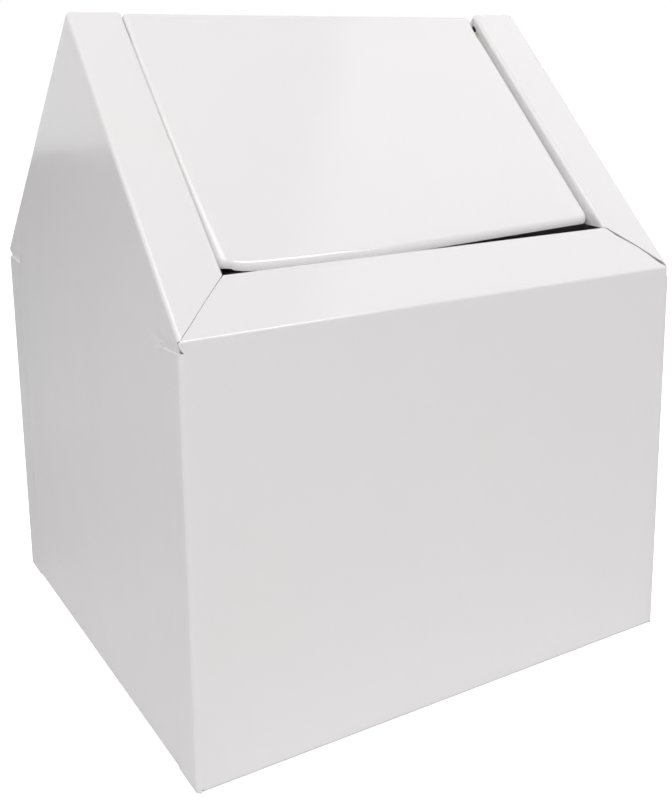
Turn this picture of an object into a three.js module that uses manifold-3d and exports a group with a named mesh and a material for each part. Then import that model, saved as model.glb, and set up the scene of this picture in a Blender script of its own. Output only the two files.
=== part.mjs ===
// A floor-standing sanitary container in folded, white-enamelled sheet steel: a square case
// with a gabled roof, and a double-entry lid that swings on two pins just under the ridge.
// Millimetres, +Z up, front towards -Y. The origin is the centre of the footprint on the floor.
import * as THREE from "three";
import { mergeVertices, toCreasedNormals } from "three/addons/utils/BufferGeometryUtils.js";
import Module from "manifold-3d";

const wasm = await Module();
wasm.setup();

// Driving dimensions of the case
const BOX_WIDTH = 235; // across the front, over the returns that wrap the corners
const BOX_DEPTH = 222; // over the front and rear panels
const EAVE_HEIGHT = 173; // sharp corner of wall and roof
const RIDGE_HEIGHT = 286; // sharp corner of the two roof slopes
const SHEET = 1; // case and lid steel
const FOLD_RADIUS = 2.5; // outside radius of every case fold
const SEAM_GAP = 0.3; // between two sheets that lie on each other
const SIDE_STRIP = 24; // roof strip at each gable, from the box side to the opening
const EAVE_STRIP = 25.4; // roof strip at front and rear, measured up the slope
const SAFETY_RETURN = 9; // depth of the turned-down edge all round the opening
const MITRE_GAP = 0.6; // open joint where two roof strips meet
const CORNER_RETURN = 20; // part of the front and rear panels that wraps round the gables
const RETURN_DROP = 6; // from the eave down to the top of that return
const RETURN_CORNER = 3; // rounding of its free upper corner
const RETURN_FOOT = 0.4; // its clearance over the floor
const EDGE_SLIT = 1; // between the gable's upright edge and the panel in front of it
const BASE_FLANGE = 14; // turned-in foot of all four walls
const FLANGE_BUTT_GAP = 1; // between the feet of neighbouring walls
const RIDGE_SLIT = 0.5; // between the front and rear strips of one gable
const RETURN_END_CLEARANCE = 1.5; // the safety returns stop short of the spacers by this

// Base pan
const PAN_WALL = 12; // height of its upturned edge
const PAN_CORNER_RELIEF = 1; // open notch at each corner, past the fold

// Gusset under each mitre
const GUSSET_SHEET = 1;
const GUSSET_INSET = 1; // kept from the folds around it
const GUSSET_CHAMFER = 9;

// Lid
const LID_SIDE_CLEARANCE = 8; // left and right gap together, beside the safety returns
const LID_EAVE_GAP = 1.3; // from the eave strip to the lid's lower edge
const LID_FLANGE = 12; // depth of its turned-down edges
const LID_EDGE_RADIUS = 4; // outside radius of its turned-down edges
const LID_RIDGE_RADIUS = 4.5; // outside radius of its ridge
const LID_CORNER_RADIUS = 6; // its lower corners, seen square on
const LID_NOTCH_RADIUS = 5; // round the bush, in each end flange
const CORNER_SOFTNESS = 0.2; // least radius where three rounded edges meet

// Swing pivot
const PIVOT_DEPTH = 9.81; // under both roof slopes, square to them
const PIN_RADIUS = 2.5;
const PIN_CLEARANCE = 0.1; // radial, in bushes, spacers and brackets
const PIN_HEAD_RADIUS = 4.5;
const PIN_HEAD = 2;
const PIN_TIP = 1.5; // past the retaining clip
const PIN_CHAMFER = 0.5;
const GROOVE_DEPTH = 0.5;
const SPACER_LENGTH = 3;
const SPACER_RADIUS = 5.5;
const BUSH_RADIUS = 3.5;
const BUSH_HEAD = 1.2;
const BUSH_HEAD_RADIUS = 5.5;
const CLIP_SHEET = 0.8;
const CLIP_RADIUS = 4.8;
const CLIP_MOUTH = 3.4;
const CLIP_GRIP_GAP = 0.1; // round the groove's floor and beside its walls
const PLATE_SHEET = 1.5; // pivot brackets and lid hinge plates
const PLATE_FOLD = 2.2; // outside radius of the bracket's folds
const PLATE_REACH = 34; // down each slope from the ridge
const PLATE_WALL = 1.6; // metal over the bore, up to the flat at the top of a plate
const PLATE_WAIST = 8; // half width and depth of the boss round the pivot
const PLATE_CORNER = 2;
const TAB_WIDTH = 11; // bracket's welding tab under the side strip

// Facets and cuts
const FOLD_STEPS = 5; // per fold of a panel
const EDGE_STEPS = 5; // per quarter turn of the lid's edges
const CORNER_STEPS = 3; // per rounded corner of a hidden plate
const ROUND_STEPS = 24; // per full turn at the pivot
const CREASE = Math.PI / 6; // faces that meet at a greater angle keep a sharp edge
const OVERRUN = 5; // cutters pass this far beyond what they cut
const FILLET_SHARE = 0.48; // of the shorter edge beside it, the most that a rounding takes
const MERGE_SHARE = 0.001; // vertices closer than this share of the seam gap are one

// The roof slope
const halfDepth = BOX_DEPTH / 2;
const halfWidth = BOX_WIDTH / 2;
const pitch = Math.atan2(RIDGE_HEIGHT - EAVE_HEIGHT, halfDepth);
const slopeLength = halfDepth / Math.cos(pitch);
const gableFace = halfWidth - SHEET - SEAM_GAP; // outside of the gable panels
const openingEdge = halfWidth - SIDE_STRIP;
const pivotHeight = RIDGE_HEIGHT - PIVOT_DEPTH / Math.cos(pitch);
const pivotFoot = slopeLength - PIVOT_DEPTH * Math.tan(pitch); // up the slope, square over the pivot
const returnsEnd = pivotFoot - SPACER_RADIUS - RETURN_END_CLEARANCE; // up the slope

// Point (y, z) at a distance up the front slope from the eave and a height over the roof plane.
function roofPoint(up, height) {
  return new THREE.Vector2(
    -halfDepth + up * Math.cos(pitch) - height * Math.sin(pitch),
    EAVE_HEIGHT + up * Math.sin(pitch) + height * Math.cos(pitch),
  );
}

// Distance up the slope at which the line at that height passes the depth y.
function upAtDepth(y, height) {
  return (y + halfDepth + height * Math.sin(pitch)) / Math.cos(pitch);
}

// Frames that stand an outline up: its x and y go along the first two axes.
const upSlope = new THREE.Vector3(0, Math.cos(pitch), Math.sin(pitch));
const outward = new THREE.Vector3(0, -Math.sin(pitch), Math.cos(pitch));
const axisX = new THREE.Vector3(1, 0, 0);
const axisY = new THREE.Vector3(0, 1, 0);
const axisZ = new THREE.Vector3(0, 0, 1);
const eaveOrigin = new THREE.Vector3(0, -halfDepth, EAVE_HEIGHT);

function solidOf(geometry) {
  const bare = geometry.clone();
  bare.deleteAttribute("normal");
  bare.deleteAttribute("uv");
  const merged = mergeVertices(bare, MERGE_SHARE * SEAM_GAP);
  const triVerts = new Uint32Array(merged.index.array);
  const vertProperties = new Float32Array(merged.attributes.position.array);
  return new wasm.Manifold(new wasm.Mesh({ numProp: 3, vertProperties, triVerts }));
}

function geometryOf(solid) {
  const mesh = solid.getMesh();
  const geometry = new THREE.BufferGeometry();
  geometry.setAttribute("position", new THREE.BufferAttribute(mesh.vertProperties, 3));
  geometry.setIndex(new THREE.BufferAttribute(mesh.triVerts, 1));
  return geometry;
}

// The same solid on the other side of the plane across one axis.
function mirrored(solid, axis) {
  const geometry = geometryOf(solid);
  const scale = new THREE.Vector3(1, 1, 1).setComponent(axis, -1);
  geometry.applyMatrix4(new THREE.Matrix4().makeScale(scale.x, scale.y, scale.z));
  const index = geometry.index.array;
  for (let i = 0; i < index.length; i += 3) {
    [index[i + 1], index[i + 2]] = [index[i + 2], index[i + 1]];
  }
  return solidOf(geometry);
}

function joined(...solids) {
  return solids.reduce((sum, next) => sum.add(next));
}

// An outline pushed along the cross product of two axes, from one distance to another.
function prism(outline, first, second, from, to, origin = new THREE.Vector3()) {
  const shape = new THREE.Shape(outline);
  const geometry = new THREE.ExtrudeGeometry(shape, { depth: to - from, bevelEnabled: false });
  geometry.translate(0, 0, from);
  const third = new THREE.Vector3().crossVectors(first, second);
  geometry.applyMatrix4(new THREE.Matrix4().makeBasis(first, second, third).setPosition(origin));
  return solidOf(geometry);
}

// Outline in (y, z), pushed from x = left to x = right.
function acrossWidth(outline, left, right) {
  return prism(outline, axisY, axisZ, left, right);
}

// Outline in (x, y), pushed from z = low to z = high.
function upright(outline, low, high) {
  return prism(outline, axisX, axisY, low, high);
}

// Outline in (x, z), pushed from y = front to y = back.
function alongDepth(outline, front, back) {
  return prism(outline, axisX, axisZ, -back, -front);
}

// Outline in (x, height over the roof), pushed along the front slope between two distances up.
function alongSlope(outline, low, high) {
  return prism(outline, axisX, outward, -high, -low, eaveOrigin);
}

// Outline in (x, up the front slope), pushed between two heights over the roof.
function onSlope(outline, low, high) {
  return prism(outline, axisX, upSlope, low, high, eaveOrigin);
}

function rectangle(left, bottom, right, top) {
  return [
    new THREE.Vector2(left, bottom),
    new THREE.Vector2(right, bottom),
    new THREE.Vector2(right, top),
    new THREE.Vector2(left, top),
  ];
}

// A corner's arc of the given radius: points and headings from one leg to the next.
function cornerArc(before, corner, after, radius, steps) {
  const arrive = corner.clone().sub(before).normalize();
  const leave = after.clone().sub(corner).normalize();
  const turn = Math.atan2(arrive.cross(leave), arrive.dot(leave));
  const side = Math.sign(turn);
  const reach = radius * Math.tan(Math.abs(turn) / 2);
  const start = corner.clone().addScaledVector(arrive, -reach);
  const centre = start.clone().add(new THREE.Vector2(-arrive.y, arrive.x).multiplyScalar(side * radius));
  const first = Math.atan2(arrive.y, arrive.x);
  return Array.from({ length: steps + 1 }, (_, step) => {
    const heading = first + (turn * step) / steps;
    const left = new THREE.Vector2(-Math.sin(heading), Math.cos(heading));
    return { point: centre.clone().addScaledVector(left, -side * radius), left };
  });
}

// Outline of a folded sheet, from the corners of its middle line and the outside fold radius.
function foldedSheet(corners, thickness, radius) {
  const ends = (from, to) => {
    const along = to.clone().sub(from).normalize();
    return new THREE.Vector2(-along.y, along.x);
  };
  const last = corners.length - 1;
  const line = [{ point: corners[0], left: ends(corners[0], corners[1]) }];
  for (let i = 1; i < last; i += 1) {
    const bend = radius - thickness / 2;
    line.push(...cornerArc(corners[i - 1], corners[i], corners[i + 1], bend, FOLD_STEPS));
  }
  line.push({ point: corners[last], left: ends(corners[last - 1], corners[last]) });
  const offset = (side) => line.map(({ point, left }) => point.clone().addScaledVector(left, side));
  const outline = [...offset(thickness / 2), ...offset(-thickness / 2).reverse()];
  return THREE.ShapeUtils.isClockWise(outline) ? outline.reverse() : outline;
}

// A plate outline with every corner rounded, as far as the edges beside the corner allow.
function roundedPlate(corners, radius, steps) {
  const count = corners.length;
  return corners.flatMap((corner, i) => {
    const before = corners[(i + count - 1) % count];
    const after = corners[(i + 1) % count];
    const reach = FILLET_SHARE * Math.min(corner.distanceTo(before), corner.distanceTo(after));
    const turn = corner.clone().sub(before).angleTo(after.clone().sub(corner));
    const fillet = Math.min(radius, reach / Math.tan(turn / 2));
    return cornerArc(before, corner, after, fillet, steps).map(({ point }) => point);
  });
}

// A turned piece about the pivot axis, from a profile of (radius, x).
function turned(profile) {
  const geometry = new THREE.LatheGeometry(profile, ROUND_STEPS);
  geometry.rotateZ(-Math.PI / 2);
  geometry.translate(0, 0, pivotHeight);
  return solidOf(geometry);
}

// A plain disc or rod on the pivot axis between two places along X.
function pivotRound(radius, left, right) {
  return turned([
    new THREE.Vector2(0, left),
    new THREE.Vector2(radius, left),
    new THREE.Vector2(radius, right),
    new THREE.Vector2(0, right),
  ]);
}

// Everything on the far side of a mitre, seen square on to the roof: the wedge that is
// cut from a strip on one side of the line from the eave corner to the opening corner.
function mitreCutter(side) {
  const eaveCorner = new THREE.Vector2(-gableFace, 0);
  const openingCorner = new THREE.Vector2(-openingEdge, EAVE_STRIP);
  const along = openingCorner.clone().sub(eaveCorner).normalize();
  const away = new THREE.Vector2(-along.y, along.x).multiplyScalar(side);
  const inner = openingCorner.clone().addScaledVector(along, 2 * OVERRUN);
  const outer = eaveCorner.clone().addScaledVector(along, -2 * OVERRUN);
  const near = -MITRE_GAP / 2;
  const far = 2 * BOX_WIDTH;
  const outline = [
    outer.clone().addScaledVector(away, near),
    inner.clone().addScaledVector(away, near),
    inner.clone().addScaledVector(away, far),
    outer.clone().addScaledVector(away, far),
  ];
  return onSlope(side > 0 ? outline : outline.reverse(), -SAFETY_RETURN - OVERRUN, OVERRUN);
}

// Front panel: foot, wall, eave strip and safety return in one sheet, with a return at each
// side that wraps the corner of the case over the gable.
function frontPanel() {
  const wall = -halfDepth + SHEET / 2;
  const strip = -SHEET / 2;
  const eaveTurn = roofPoint(upAtDepth(wall, strip), strip);
  const openingTurn = roofPoint(EAVE_STRIP - SHEET / 2, strip);
  const returnTip = roofPoint(EAVE_STRIP - SHEET / 2, -SAFETY_RETURN);
  const returnTop = EAVE_HEIGHT - RETURN_DROP;
  const square = halfWidth - FOLD_RADIUS;
  const footEnd = gableFace - SHEET - SEAM_GAP;

  const foot = acrossWidth(
    foldedSheet(
      [
        new THREE.Vector2(-halfDepth + BASE_FLANGE, SHEET / 2),
        new THREE.Vector2(wall, SHEET / 2),
        new THREE.Vector2(wall, BASE_FLANGE),
      ],
      SHEET,
      FOLD_RADIUS,
    ),
    -footEnd,
    footEnd,
  );
  const face = acrossWidth(
    rectangle(-halfDepth, FOLD_RADIUS, -halfDepth + SHEET, returnTop),
    -square,
    square,
  );
  const roof = acrossWidth(
    foldedSheet(
      [new THREE.Vector2(wall, returnTop), eaveTurn, openingTurn, returnTip],
      SHEET,
      FOLD_RADIUS,
    ),
    -gableFace,
    gableFace,
  ).subtract(mitreCutter(1)).subtract(mirrored(mitreCutter(1), 0));

  const side = -halfWidth + SHEET / 2;
  const wrap = upright(
    foldedSheet(
      [
        new THREE.Vector2(side, -halfDepth + CORNER_RETURN),
        new THREE.Vector2(side, wall),
        new THREE.Vector2(-square + SHEET, wall),
      ],
      SHEET,
      FOLD_RADIUS,
    ),
    RETURN_FOOT,
    returnTop,
  ).subtract(returnCorner(returnTop));
  return joined(foot, face, roof, wrap, mirrored(wrap, 0));
}

// What is rounded off the free upper corner of a corner return.
function returnCorner(top) {
  const back = -halfDepth + CORNER_RETURN;
  const rounding = cornerArc(
    new THREE.Vector2(back, 0),
    new THREE.Vector2(back, top),
    new THREE.Vector2(-halfDepth, top),
    RETURN_CORNER,
    FOLD_STEPS,
  ).map(({ point }) => point);
  const outline = [
    ...rounding.reverse(),
    new THREE.Vector2(back, top - RETURN_CORNER - OVERRUN),
    new THREE.Vector2(back + OVERRUN, top - RETURN_CORNER - OVERRUN),
    new THREE.Vector2(back + OVERRUN, top + OVERRUN),
    new THREE.Vector2(back - RETURN_CORNER, top + OVERRUN),
  ];
  const ordered = THREE.ShapeUtils.isClockWise(outline) ? outline.reverse() : outline;
  return acrossWidth(ordered, -halfWidth - OVERRUN, -halfWidth + SHEET + OVERRUN);
}

// Left gable: upright five-sided panel, its foot, and two roof strips with safety returns.
function leftGable() {
  const middle = -gableFace + SHEET / 2;
  const edge = halfDepth - SHEET - EDGE_SLIT;
  const eave = roofPoint(upAtDepth(-edge, -FOLD_RADIUS), -FOLD_RADIUS);
  const apex = roofPoint(upAtDepth(0, -FOLD_RADIUS), -FOLD_RADIUS);
  const footEnd = halfDepth - BASE_FLANGE - FLANGE_BUTT_GAP;
  const plate = acrossWidth(
    [
      new THREE.Vector2(-edge, 0),
      new THREE.Vector2(-footEnd, 0),
      new THREE.Vector2(-footEnd, FOLD_RADIUS),
      new THREE.Vector2(footEnd, FOLD_RADIUS),
      new THREE.Vector2(footEnd, 0),
      new THREE.Vector2(edge, 0),
      new THREE.Vector2(edge, eave.y),
      new THREE.Vector2(0, apex.y),
      new THREE.Vector2(-edge, eave.y),
    ],
    -gableFace,
    -gableFace + SHEET,
  );
  const foot = alongDepth(
    foldedSheet(
      [
        new THREE.Vector2(middle, BASE_FLANGE),
        new THREE.Vector2(middle, SHEET / 2),
        new THREE.Vector2(-gableFace + BASE_FLANGE, SHEET / 2),
      ],
      SHEET,
      FOLD_RADIUS,
    ),
    -footEnd,
    footEnd,
  );
  const strip = frontLeftStrip(middle);
  return joined(plate, foot, strip, mirrored(strip, 1));
}

// The front half of a gable's roof strip, cut for the mitre, the ridge and the pivot.
function frontLeftStrip(middle) {
  const inner = -openingEdge - SHEET / 2;
  const outline = foldedSheet(
    [
      new THREE.Vector2(middle, -FOLD_RADIUS - SHEET),
      new THREE.Vector2(middle, -SHEET / 2),
      new THREE.Vector2(inner, -SHEET / 2),
      new THREE.Vector2(inner, -SAFETY_RETURN),
    ],
    SHEET,
    FOLD_RADIUS,
  );
  const behindRidge = acrossWidth(
    rectangle(-RIDGE_SLIT / 2, 0, BOX_DEPTH, RIDGE_HEIGHT + BOX_DEPTH),
    -halfWidth - OVERRUN,
    0,
  );
  const relief = alongSlope(
    rectangle(
      inner - SHEET,
      -SAFETY_RETURN - OVERRUN,
      -openingEdge + OVERRUN,
      -FOLD_RADIUS,
    ),
    returnsEnd,
    slopeLength + OVERRUN,
  );
  const beforeWall = acrossWidth(
    rectangle(-halfDepth - OVERRUN, 0, -halfDepth + SHEET + SEAM_GAP, eaveSeam()),
    -halfWidth - OVERRUN,
    0,
  );
  return alongSlope(outline, -OVERRUN, slopeLength + OVERRUN)
    .subtract(mitreCutter(-1))
    .subtract(behindRidge)
    .subtract(relief)
    .subtract(beforeWall);
}

// Height at which the inside of the front wall meets the underside of the eave strip.
function eaveSeam() {
  const inside = -halfDepth + SHEET;
  return roofPoint(upAtDepth(inside, -SHEET), -SHEET).y;
}

// Base pan: a shallow tray that stands on the feet of the four walls.
function basePan() {
  const bottom = SHEET + SEAM_GAP;
  const halfX = gableFace - SHEET - SEAM_GAP;
  const halfY = halfDepth - SHEET - SEAM_GAP;
  const tray = (half) =>
    foldedSheet(
      [
        new THREE.Vector2(-half + SHEET / 2, bottom + PAN_WALL),
        new THREE.Vector2(-half + SHEET / 2, bottom + SHEET / 2),
        new THREE.Vector2(half - SHEET / 2, bottom + SHEET / 2),
        new THREE.Vector2(half - SHEET / 2, bottom + PAN_WALL),
      ],
      SHEET,
      FOLD_RADIUS,
    );
  const notch = FOLD_RADIUS + PAN_CORNER_RELIEF;
  return joined(
    acrossWidth(tray(halfY), -halfX + notch, halfX - notch),
    alongDepth(tray(halfX), -halfY + notch, halfY - notch),
  );
}

// Gusset welded under the front left mitre.
function frontLeftGusset() {
  const top = -SHEET - SEAM_GAP;
  const outer = -gableFace + FOLD_RADIUS + GUSSET_INSET;
  const inner = -openingEdge - SHEET - GUSSET_INSET;
  const low = FOLD_RADIUS + GUSSET_INSET;
  const high = EAVE_STRIP - SHEET - GUSSET_INSET;
  const outline = [
    new THREE.Vector2(outer, low),
    new THREE.Vector2(outer + GUSSET_CHAMFER, low),
    new THREE.Vector2(inner, high - GUSSET_CHAMFER),
    new THREE.Vector2(inner, high),
    new THREE.Vector2(inner - GUSSET_CHAMFER, high),
    new THREE.Vector2(outer, low + GUSSET_CHAMFER),
  ];
  return onSlope(outline, top - GUSSET_SHEET, top);
}

// Chevron plate under the ridge, with a boss round the bore at the pivot: outline in (y, z).
function chevron(topHeight, footHeight, bore) {
  const low = slopeLength - PLATE_REACH;
  const shoulder = roofPoint(low, topHeight);
  const toe = roofPoint(low, footHeight);
  const apex = roofPoint(upAtDepth(0, topHeight), topHeight);
  const flat = pivotHeight + bore + PLATE_WALL;
  const crown = new THREE.Vector2((flat - apex.y) / Math.tan(pitch), flat);
  const boss = new THREE.Vector2(-PLATE_WAIST, pivotHeight - PLATE_WAIST);
  const left = [crown, shoulder, toe, boss];
  const right = left.map((point) => new THREE.Vector2(-point.x, point.y)).reverse();
  return roundedPlate([...left, ...right], PLATE_CORNER, CORNER_STEPS);
}

// Left pivot bracket: chevron plate behind the safety returns, with two tabs under the strip.
function leftBracket() {
  const inside = -openingEdge - SHEET - SEAM_GAP;
  const middle = inside - PLATE_SHEET / 2;
  const top = -SHEET - SEAM_GAP;
  const bore = PIN_RADIUS + PIN_CLEARANCE;
  const plate = acrossWidth(
    chevron(top - PLATE_FOLD, -SAFETY_RETURN, bore),
    inside - PLATE_SHEET,
    inside,
  );
  const tab = alongSlope(
    foldedSheet(
      [
        new THREE.Vector2(inside - TAB_WIDTH, top - PLATE_SHEET / 2),
        new THREE.Vector2(middle, top - PLATE_SHEET / 2),
        new THREE.Vector2(middle, -SAFETY_RETURN + PLATE_CORNER),
      ],
      PLATE_SHEET,
      PLATE_FOLD,
    ),
    slopeLength - PLATE_REACH + PLATE_CORNER,
    returnsEnd,
  );
  const hole = pivotRound(bore, inside - PLATE_SHEET - OVERRUN, inside + OVERRUN);
  return joined(plate, tab, mirrored(tab, 1)).subtract(hole);
}

// Places along X of the stack at the left pivot, from the bracket inwards.
const bracketFace = -openingEdge - SHEET - SEAM_GAP;
const spacerOuter = bracketFace + SEAM_GAP;
const spacerInner = spacerOuter + SPACER_LENGTH;
const lidLeft = spacerInner + SEAM_GAP; // the lid lies pushed over to the left
const lidRight = lidLeft + 2 * openingEdge - LID_SIDE_CLEARANCE;
const lidMiddle = (lidLeft + lidRight) / 2;
const hingePlateOuter = SHEET + SEAM_GAP; // from the lid's end face
const hingePlateInner = hingePlateOuter + PLATE_SHEET;
const bushHeadOuter = hingePlateInner + SEAM_GAP;
const bushHeadInner = bushHeadOuter + BUSH_HEAD;
const clipOuter = -(lidRight - bushHeadInner - SEAM_GAP);
const clipInner = clipOuter + CLIP_SHEET;

function leftPin() {
  const head = bracketFace - PLATE_SHEET - SEAM_GAP;
  const floor = PIN_RADIUS - GROOVE_DEPTH;
  const tip = clipInner + PIN_TIP;
  return turned([
    new THREE.Vector2(0, head - PIN_HEAD),
    new THREE.Vector2(PIN_HEAD_RADIUS - PIN_CHAMFER, head - PIN_HEAD),
    new THREE.Vector2(PIN_HEAD_RADIUS, head - PIN_HEAD + PIN_CHAMFER),
    new THREE.Vector2(PIN_HEAD_RADIUS, head),
    new THREE.Vector2(PIN_RADIUS, head),
    new THREE.Vector2(PIN_RADIUS, clipOuter - CLIP_GRIP_GAP),
    new THREE.Vector2(floor, clipOuter - CLIP_GRIP_GAP),
    new THREE.Vector2(floor, clipInner + CLIP_GRIP_GAP),
    new THREE.Vector2(PIN_RADIUS, clipInner + CLIP_GRIP_GAP),
    new THREE.Vector2(PIN_RADIUS, tip - PIN_CHAMFER),
    new THREE.Vector2(PIN_RADIUS - PIN_CHAMFER, tip),
    new THREE.Vector2(0, tip),
  ]);
}

function leftSpacer() {
  const bore = PIN_RADIUS + PIN_CLEARANCE;
  return turned([
    new THREE.Vector2(bore, spacerOuter),
    new THREE.Vector2(SPACER_RADIUS, spacerOuter),
    new THREE.Vector2(SPACER_RADIUS, spacerInner),
    new THREE.Vector2(bore, spacerInner),
    new THREE.Vector2(bore, spacerOuter),
  ]);
}

// Open retaining clip, snapped into the pin's groove from below.
function leftClip() {
  const bore = PIN_RADIUS - GROOVE_DEPTH + CLIP_GRIP_GAP;
  const ring = turned([
    new THREE.Vector2(bore, clipOuter),
    new THREE.Vector2(CLIP_RADIUS, clipOuter),
    new THREE.Vector2(CLIP_RADIUS, clipInner),
    new THREE.Vector2(bore, clipInner),
    new THREE.Vector2(bore, clipOuter),
  ]);
  const mouth = acrossWidth(
    rectangle(-CLIP_MOUTH / 2, pivotHeight - CLIP_RADIUS - OVERRUN, CLIP_MOUTH / 2, pivotHeight),
    clipOuter - OVERRUN,
    clipInner + OVERRUN,
  );
  return ring.subtract(mouth);
}

// Bush in the lid's left hinge plate, its head inwards.
function leftBush() {
  const bore = PIN_RADIUS + PIN_CLEARANCE;
  return turned([
    new THREE.Vector2(bore, lidLeft),
    new THREE.Vector2(BUSH_RADIUS, lidLeft),
    new THREE.Vector2(BUSH_RADIUS, lidLeft + bushHeadOuter),
    new THREE.Vector2(BUSH_HEAD_RADIUS, lidLeft + bushHeadOuter),
    new THREE.Vector2(BUSH_HEAD_RADIUS, lidLeft + bushHeadInner),
    new THREE.Vector2(bore, lidLeft + bushHeadInner),
    new THREE.Vector2(bore, lidLeft),
  ]);
}

function leftHingePlate() {
  const bore = BUSH_RADIUS + PIN_CLEARANCE;
  const outer = lidLeft + hingePlateOuter;
  const inner = lidLeft + hingePlateInner;
  const outline = chevron(-LID_EDGE_RADIUS, -LID_FLANGE + PLATE_CORNER / 2, bore);
  const hole = pivotRound(bore, outer - OVERRUN, inner + OVERRUN);
  return acrossWidth(outline, outer, inner).subtract(hole);
}

// Cross-section of the lid at one place along X, as a closed band in (y, z): the two slopes
// drawn in by sink at the top and by foot at the lower ends, with rounded ridge and edges.
function lidSection(sink, foot, radius, ridge, depth) {
  const low = EAVE_STRIP + LID_EAVE_GAP + foot;
  const brow = roofPoint(low, -sink);
  const crest = roofPoint(upAtDepth(0, -sink), -sink);
  const hem = roofPoint(low, -depth);
  const edge = cornerArc(hem, brow, crest, radius, EDGE_STEPS).map(({ point }) => point);
  const opposite = (point) => new THREE.Vector2(-point.x, point.y);
  const top = cornerArc(brow, crest, opposite(brow), ridge, 2 * EDGE_STEPS).map(({ point }) => point);
  const valley = roofPoint(upAtDepth(0, -depth), -depth);
  const front = [...edge.reverse(), hem];
  return [valley, ...front.map(opposite).reverse(), ...top.reverse(), ...front];
}

// The lid as a solid block, its sections set along X: the two ends fall away over a quarter
// turn, and the lower corners are round seen square on. The wall is the difference of the
// block and the same block drawn in by the sheet.
function lidBlock(inset, depth) {
  const radius = LID_EDGE_RADIUS - inset;
  const corner = LID_CORNER_RADIUS - inset;
  const ridge = LID_RIDGE_RADIUS - inset;
  const turns = Array.from({ length: EDGE_STEPS + 1 }, (_, step) => (Math.PI / 2) * (step / EDGE_STEPS));
  const end = turns.map((angle) => {
    const along = radius * (1 - Math.cos(angle));
    const left = Math.sin(angle);
    const sink = radius * (1 - left);
    const foot = corner - Math.sqrt(corner ** 2 - (corner - along) ** 2);
    const edgeRound = radius * left + CORNER_SOFTNESS;
    const ridgeRound = ridge * left + CORNER_SOFTNESS;
    return {
      along: inset + along,
      section: lidSection(inset + sink, inset + foot, edgeRound, ridgeRound, depth),
    };
  });
  end.push({ along: inset + corner, section: lidSection(inset, inset, radius, ridge, depth) });
  const left = end.map(({ along, section }) => ({ x: lidLeft + along, section }));
  const right = end.map(({ along, section }) => ({ x: lidRight - along, section })).reverse();
  return solidOf(lofted([...left, ...right]));
}

// Closed skin through sections in (y, z) at growing x, all with the same number of points.
function lofted(stations) {
  const count = stations[0].section.length;
  const last = (stations.length - 1) * count;
  const index = [];
  for (let level = 0; level < last; level += count) {
    for (let i = 0; i < count; i += 1) {
      const a = level + i;
      const b = level + ((i + 1) % count);
      index.push(a, b, b + count, a, b + count, a + count);
    }
  }
  const cap = THREE.ShapeUtils.triangulateShape(stations[0].section, []);
  const endCap = THREE.ShapeUtils.triangulateShape(stations[stations.length - 1].section, []);
  cap.forEach(([a, b, c]) => index.push(a, c, b));
  endCap.forEach(([a, b, c]) => index.push(last + a, last + b, last + c));
  const points = stations.flatMap(({ x, section }) =>
    section.map((point) => new THREE.Vector3(x, point.x, point.y)),
  );
  const geometry = new THREE.BufferGeometry().setFromPoints(points);
  geometry.setIndex(index);
  return geometry;
}

// Swing lid: one folded sheet, its end flanges notched round the bushes.
function swingLid() {
  const shell = lidBlock(0, LID_FLANGE).subtract(lidBlock(SHEET, LID_FLANGE + OVERRUN));
  const foot = pivotHeight - LID_FLANGE - OVERRUN;
  const crown = Array.from({ length: ROUND_STEPS / 2 + 1 }, (_, step) => {
    const angle = (2 * Math.PI * step) / ROUND_STEPS;
    return new THREE.Vector2(Math.cos(angle), Math.sin(angle))
      .multiplyScalar(LID_NOTCH_RADIUS)
      .add(new THREE.Vector2(0, pivotHeight));
  });
  const arch = [
    ...crown,
    new THREE.Vector2(-LID_NOTCH_RADIUS, foot),
    new THREE.Vector2(LID_NOTCH_RADIUS, foot),
  ];
  const reach = LID_EDGE_RADIUS + SHEET;
  return shell
    .subtract(acrossWidth(arch, lidLeft - OVERRUN, lidLeft + reach))
    .subtract(acrossWidth(arch, lidRight - reach, lidRight + OVERRUN));
}

// Moves a left-hand piece of the lid to its right-hand end.
function lidOpposite(solid) {
  const geometry = geometryOf(mirrored(solid, 0));
  geometry.translate(2 * lidMiddle, 0, 0);
  return solidOf(geometry);
}

// Finishes
const enamel = () => new THREE.MeshStandardMaterial({ color: 0xf0eeed, roughness: 0.3, metalness: 0 });
const zinc = () => new THREE.MeshStandardMaterial({ color: 0xa9adb2, roughness: 0.42, metalness: 1 });
const steel = () => new THREE.MeshStandardMaterial({ color: 0xc4c6c9, roughness: 0.25, metalness: 1 });
const nylon = () => new THREE.MeshStandardMaterial({ color: 0xe6e2d6, roughness: 0.55, metalness: 0 });

const caseGroup = new THREE.Group();
const lidGroup = new THREE.Group();

function addPiece(group, name, solid, material) {
  const geometry = toCreasedNormals(geometryOf(solid), CREASE);
  const mesh = new THREE.Mesh(geometry, material);
  mesh.name = name;
  group.add(mesh);
}

// A piece with its mirror image, named for the two sides they are on.
function addPair(group, names, solid, other, material) {
  addPiece(group, names[0], solid, material());
  addPiece(group, names[1], other, material());
}

const front = frontPanel();
addPair(caseGroup, ["front_panel", "rear_panel"], front, mirrored(front, 1), enamel);
const gable = leftGable();
addPair(caseGroup, ["left_gable_panel", "right_gable_panel"], gable, mirrored(gable, 0), enamel);
addPiece(caseGroup, "base_pan", basePan(), enamel());

const gusset = frontLeftGusset();
const rearGusset = mirrored(gusset, 1);
addPair(caseGroup, ["front_left_gusset", "front_right_gusset"], gusset, mirrored(gusset, 0), zinc);
addPair(caseGroup, ["rear_left_gusset", "rear_right_gusset"], rearGusset, mirrored(rearGusset, 0), zinc);

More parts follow.
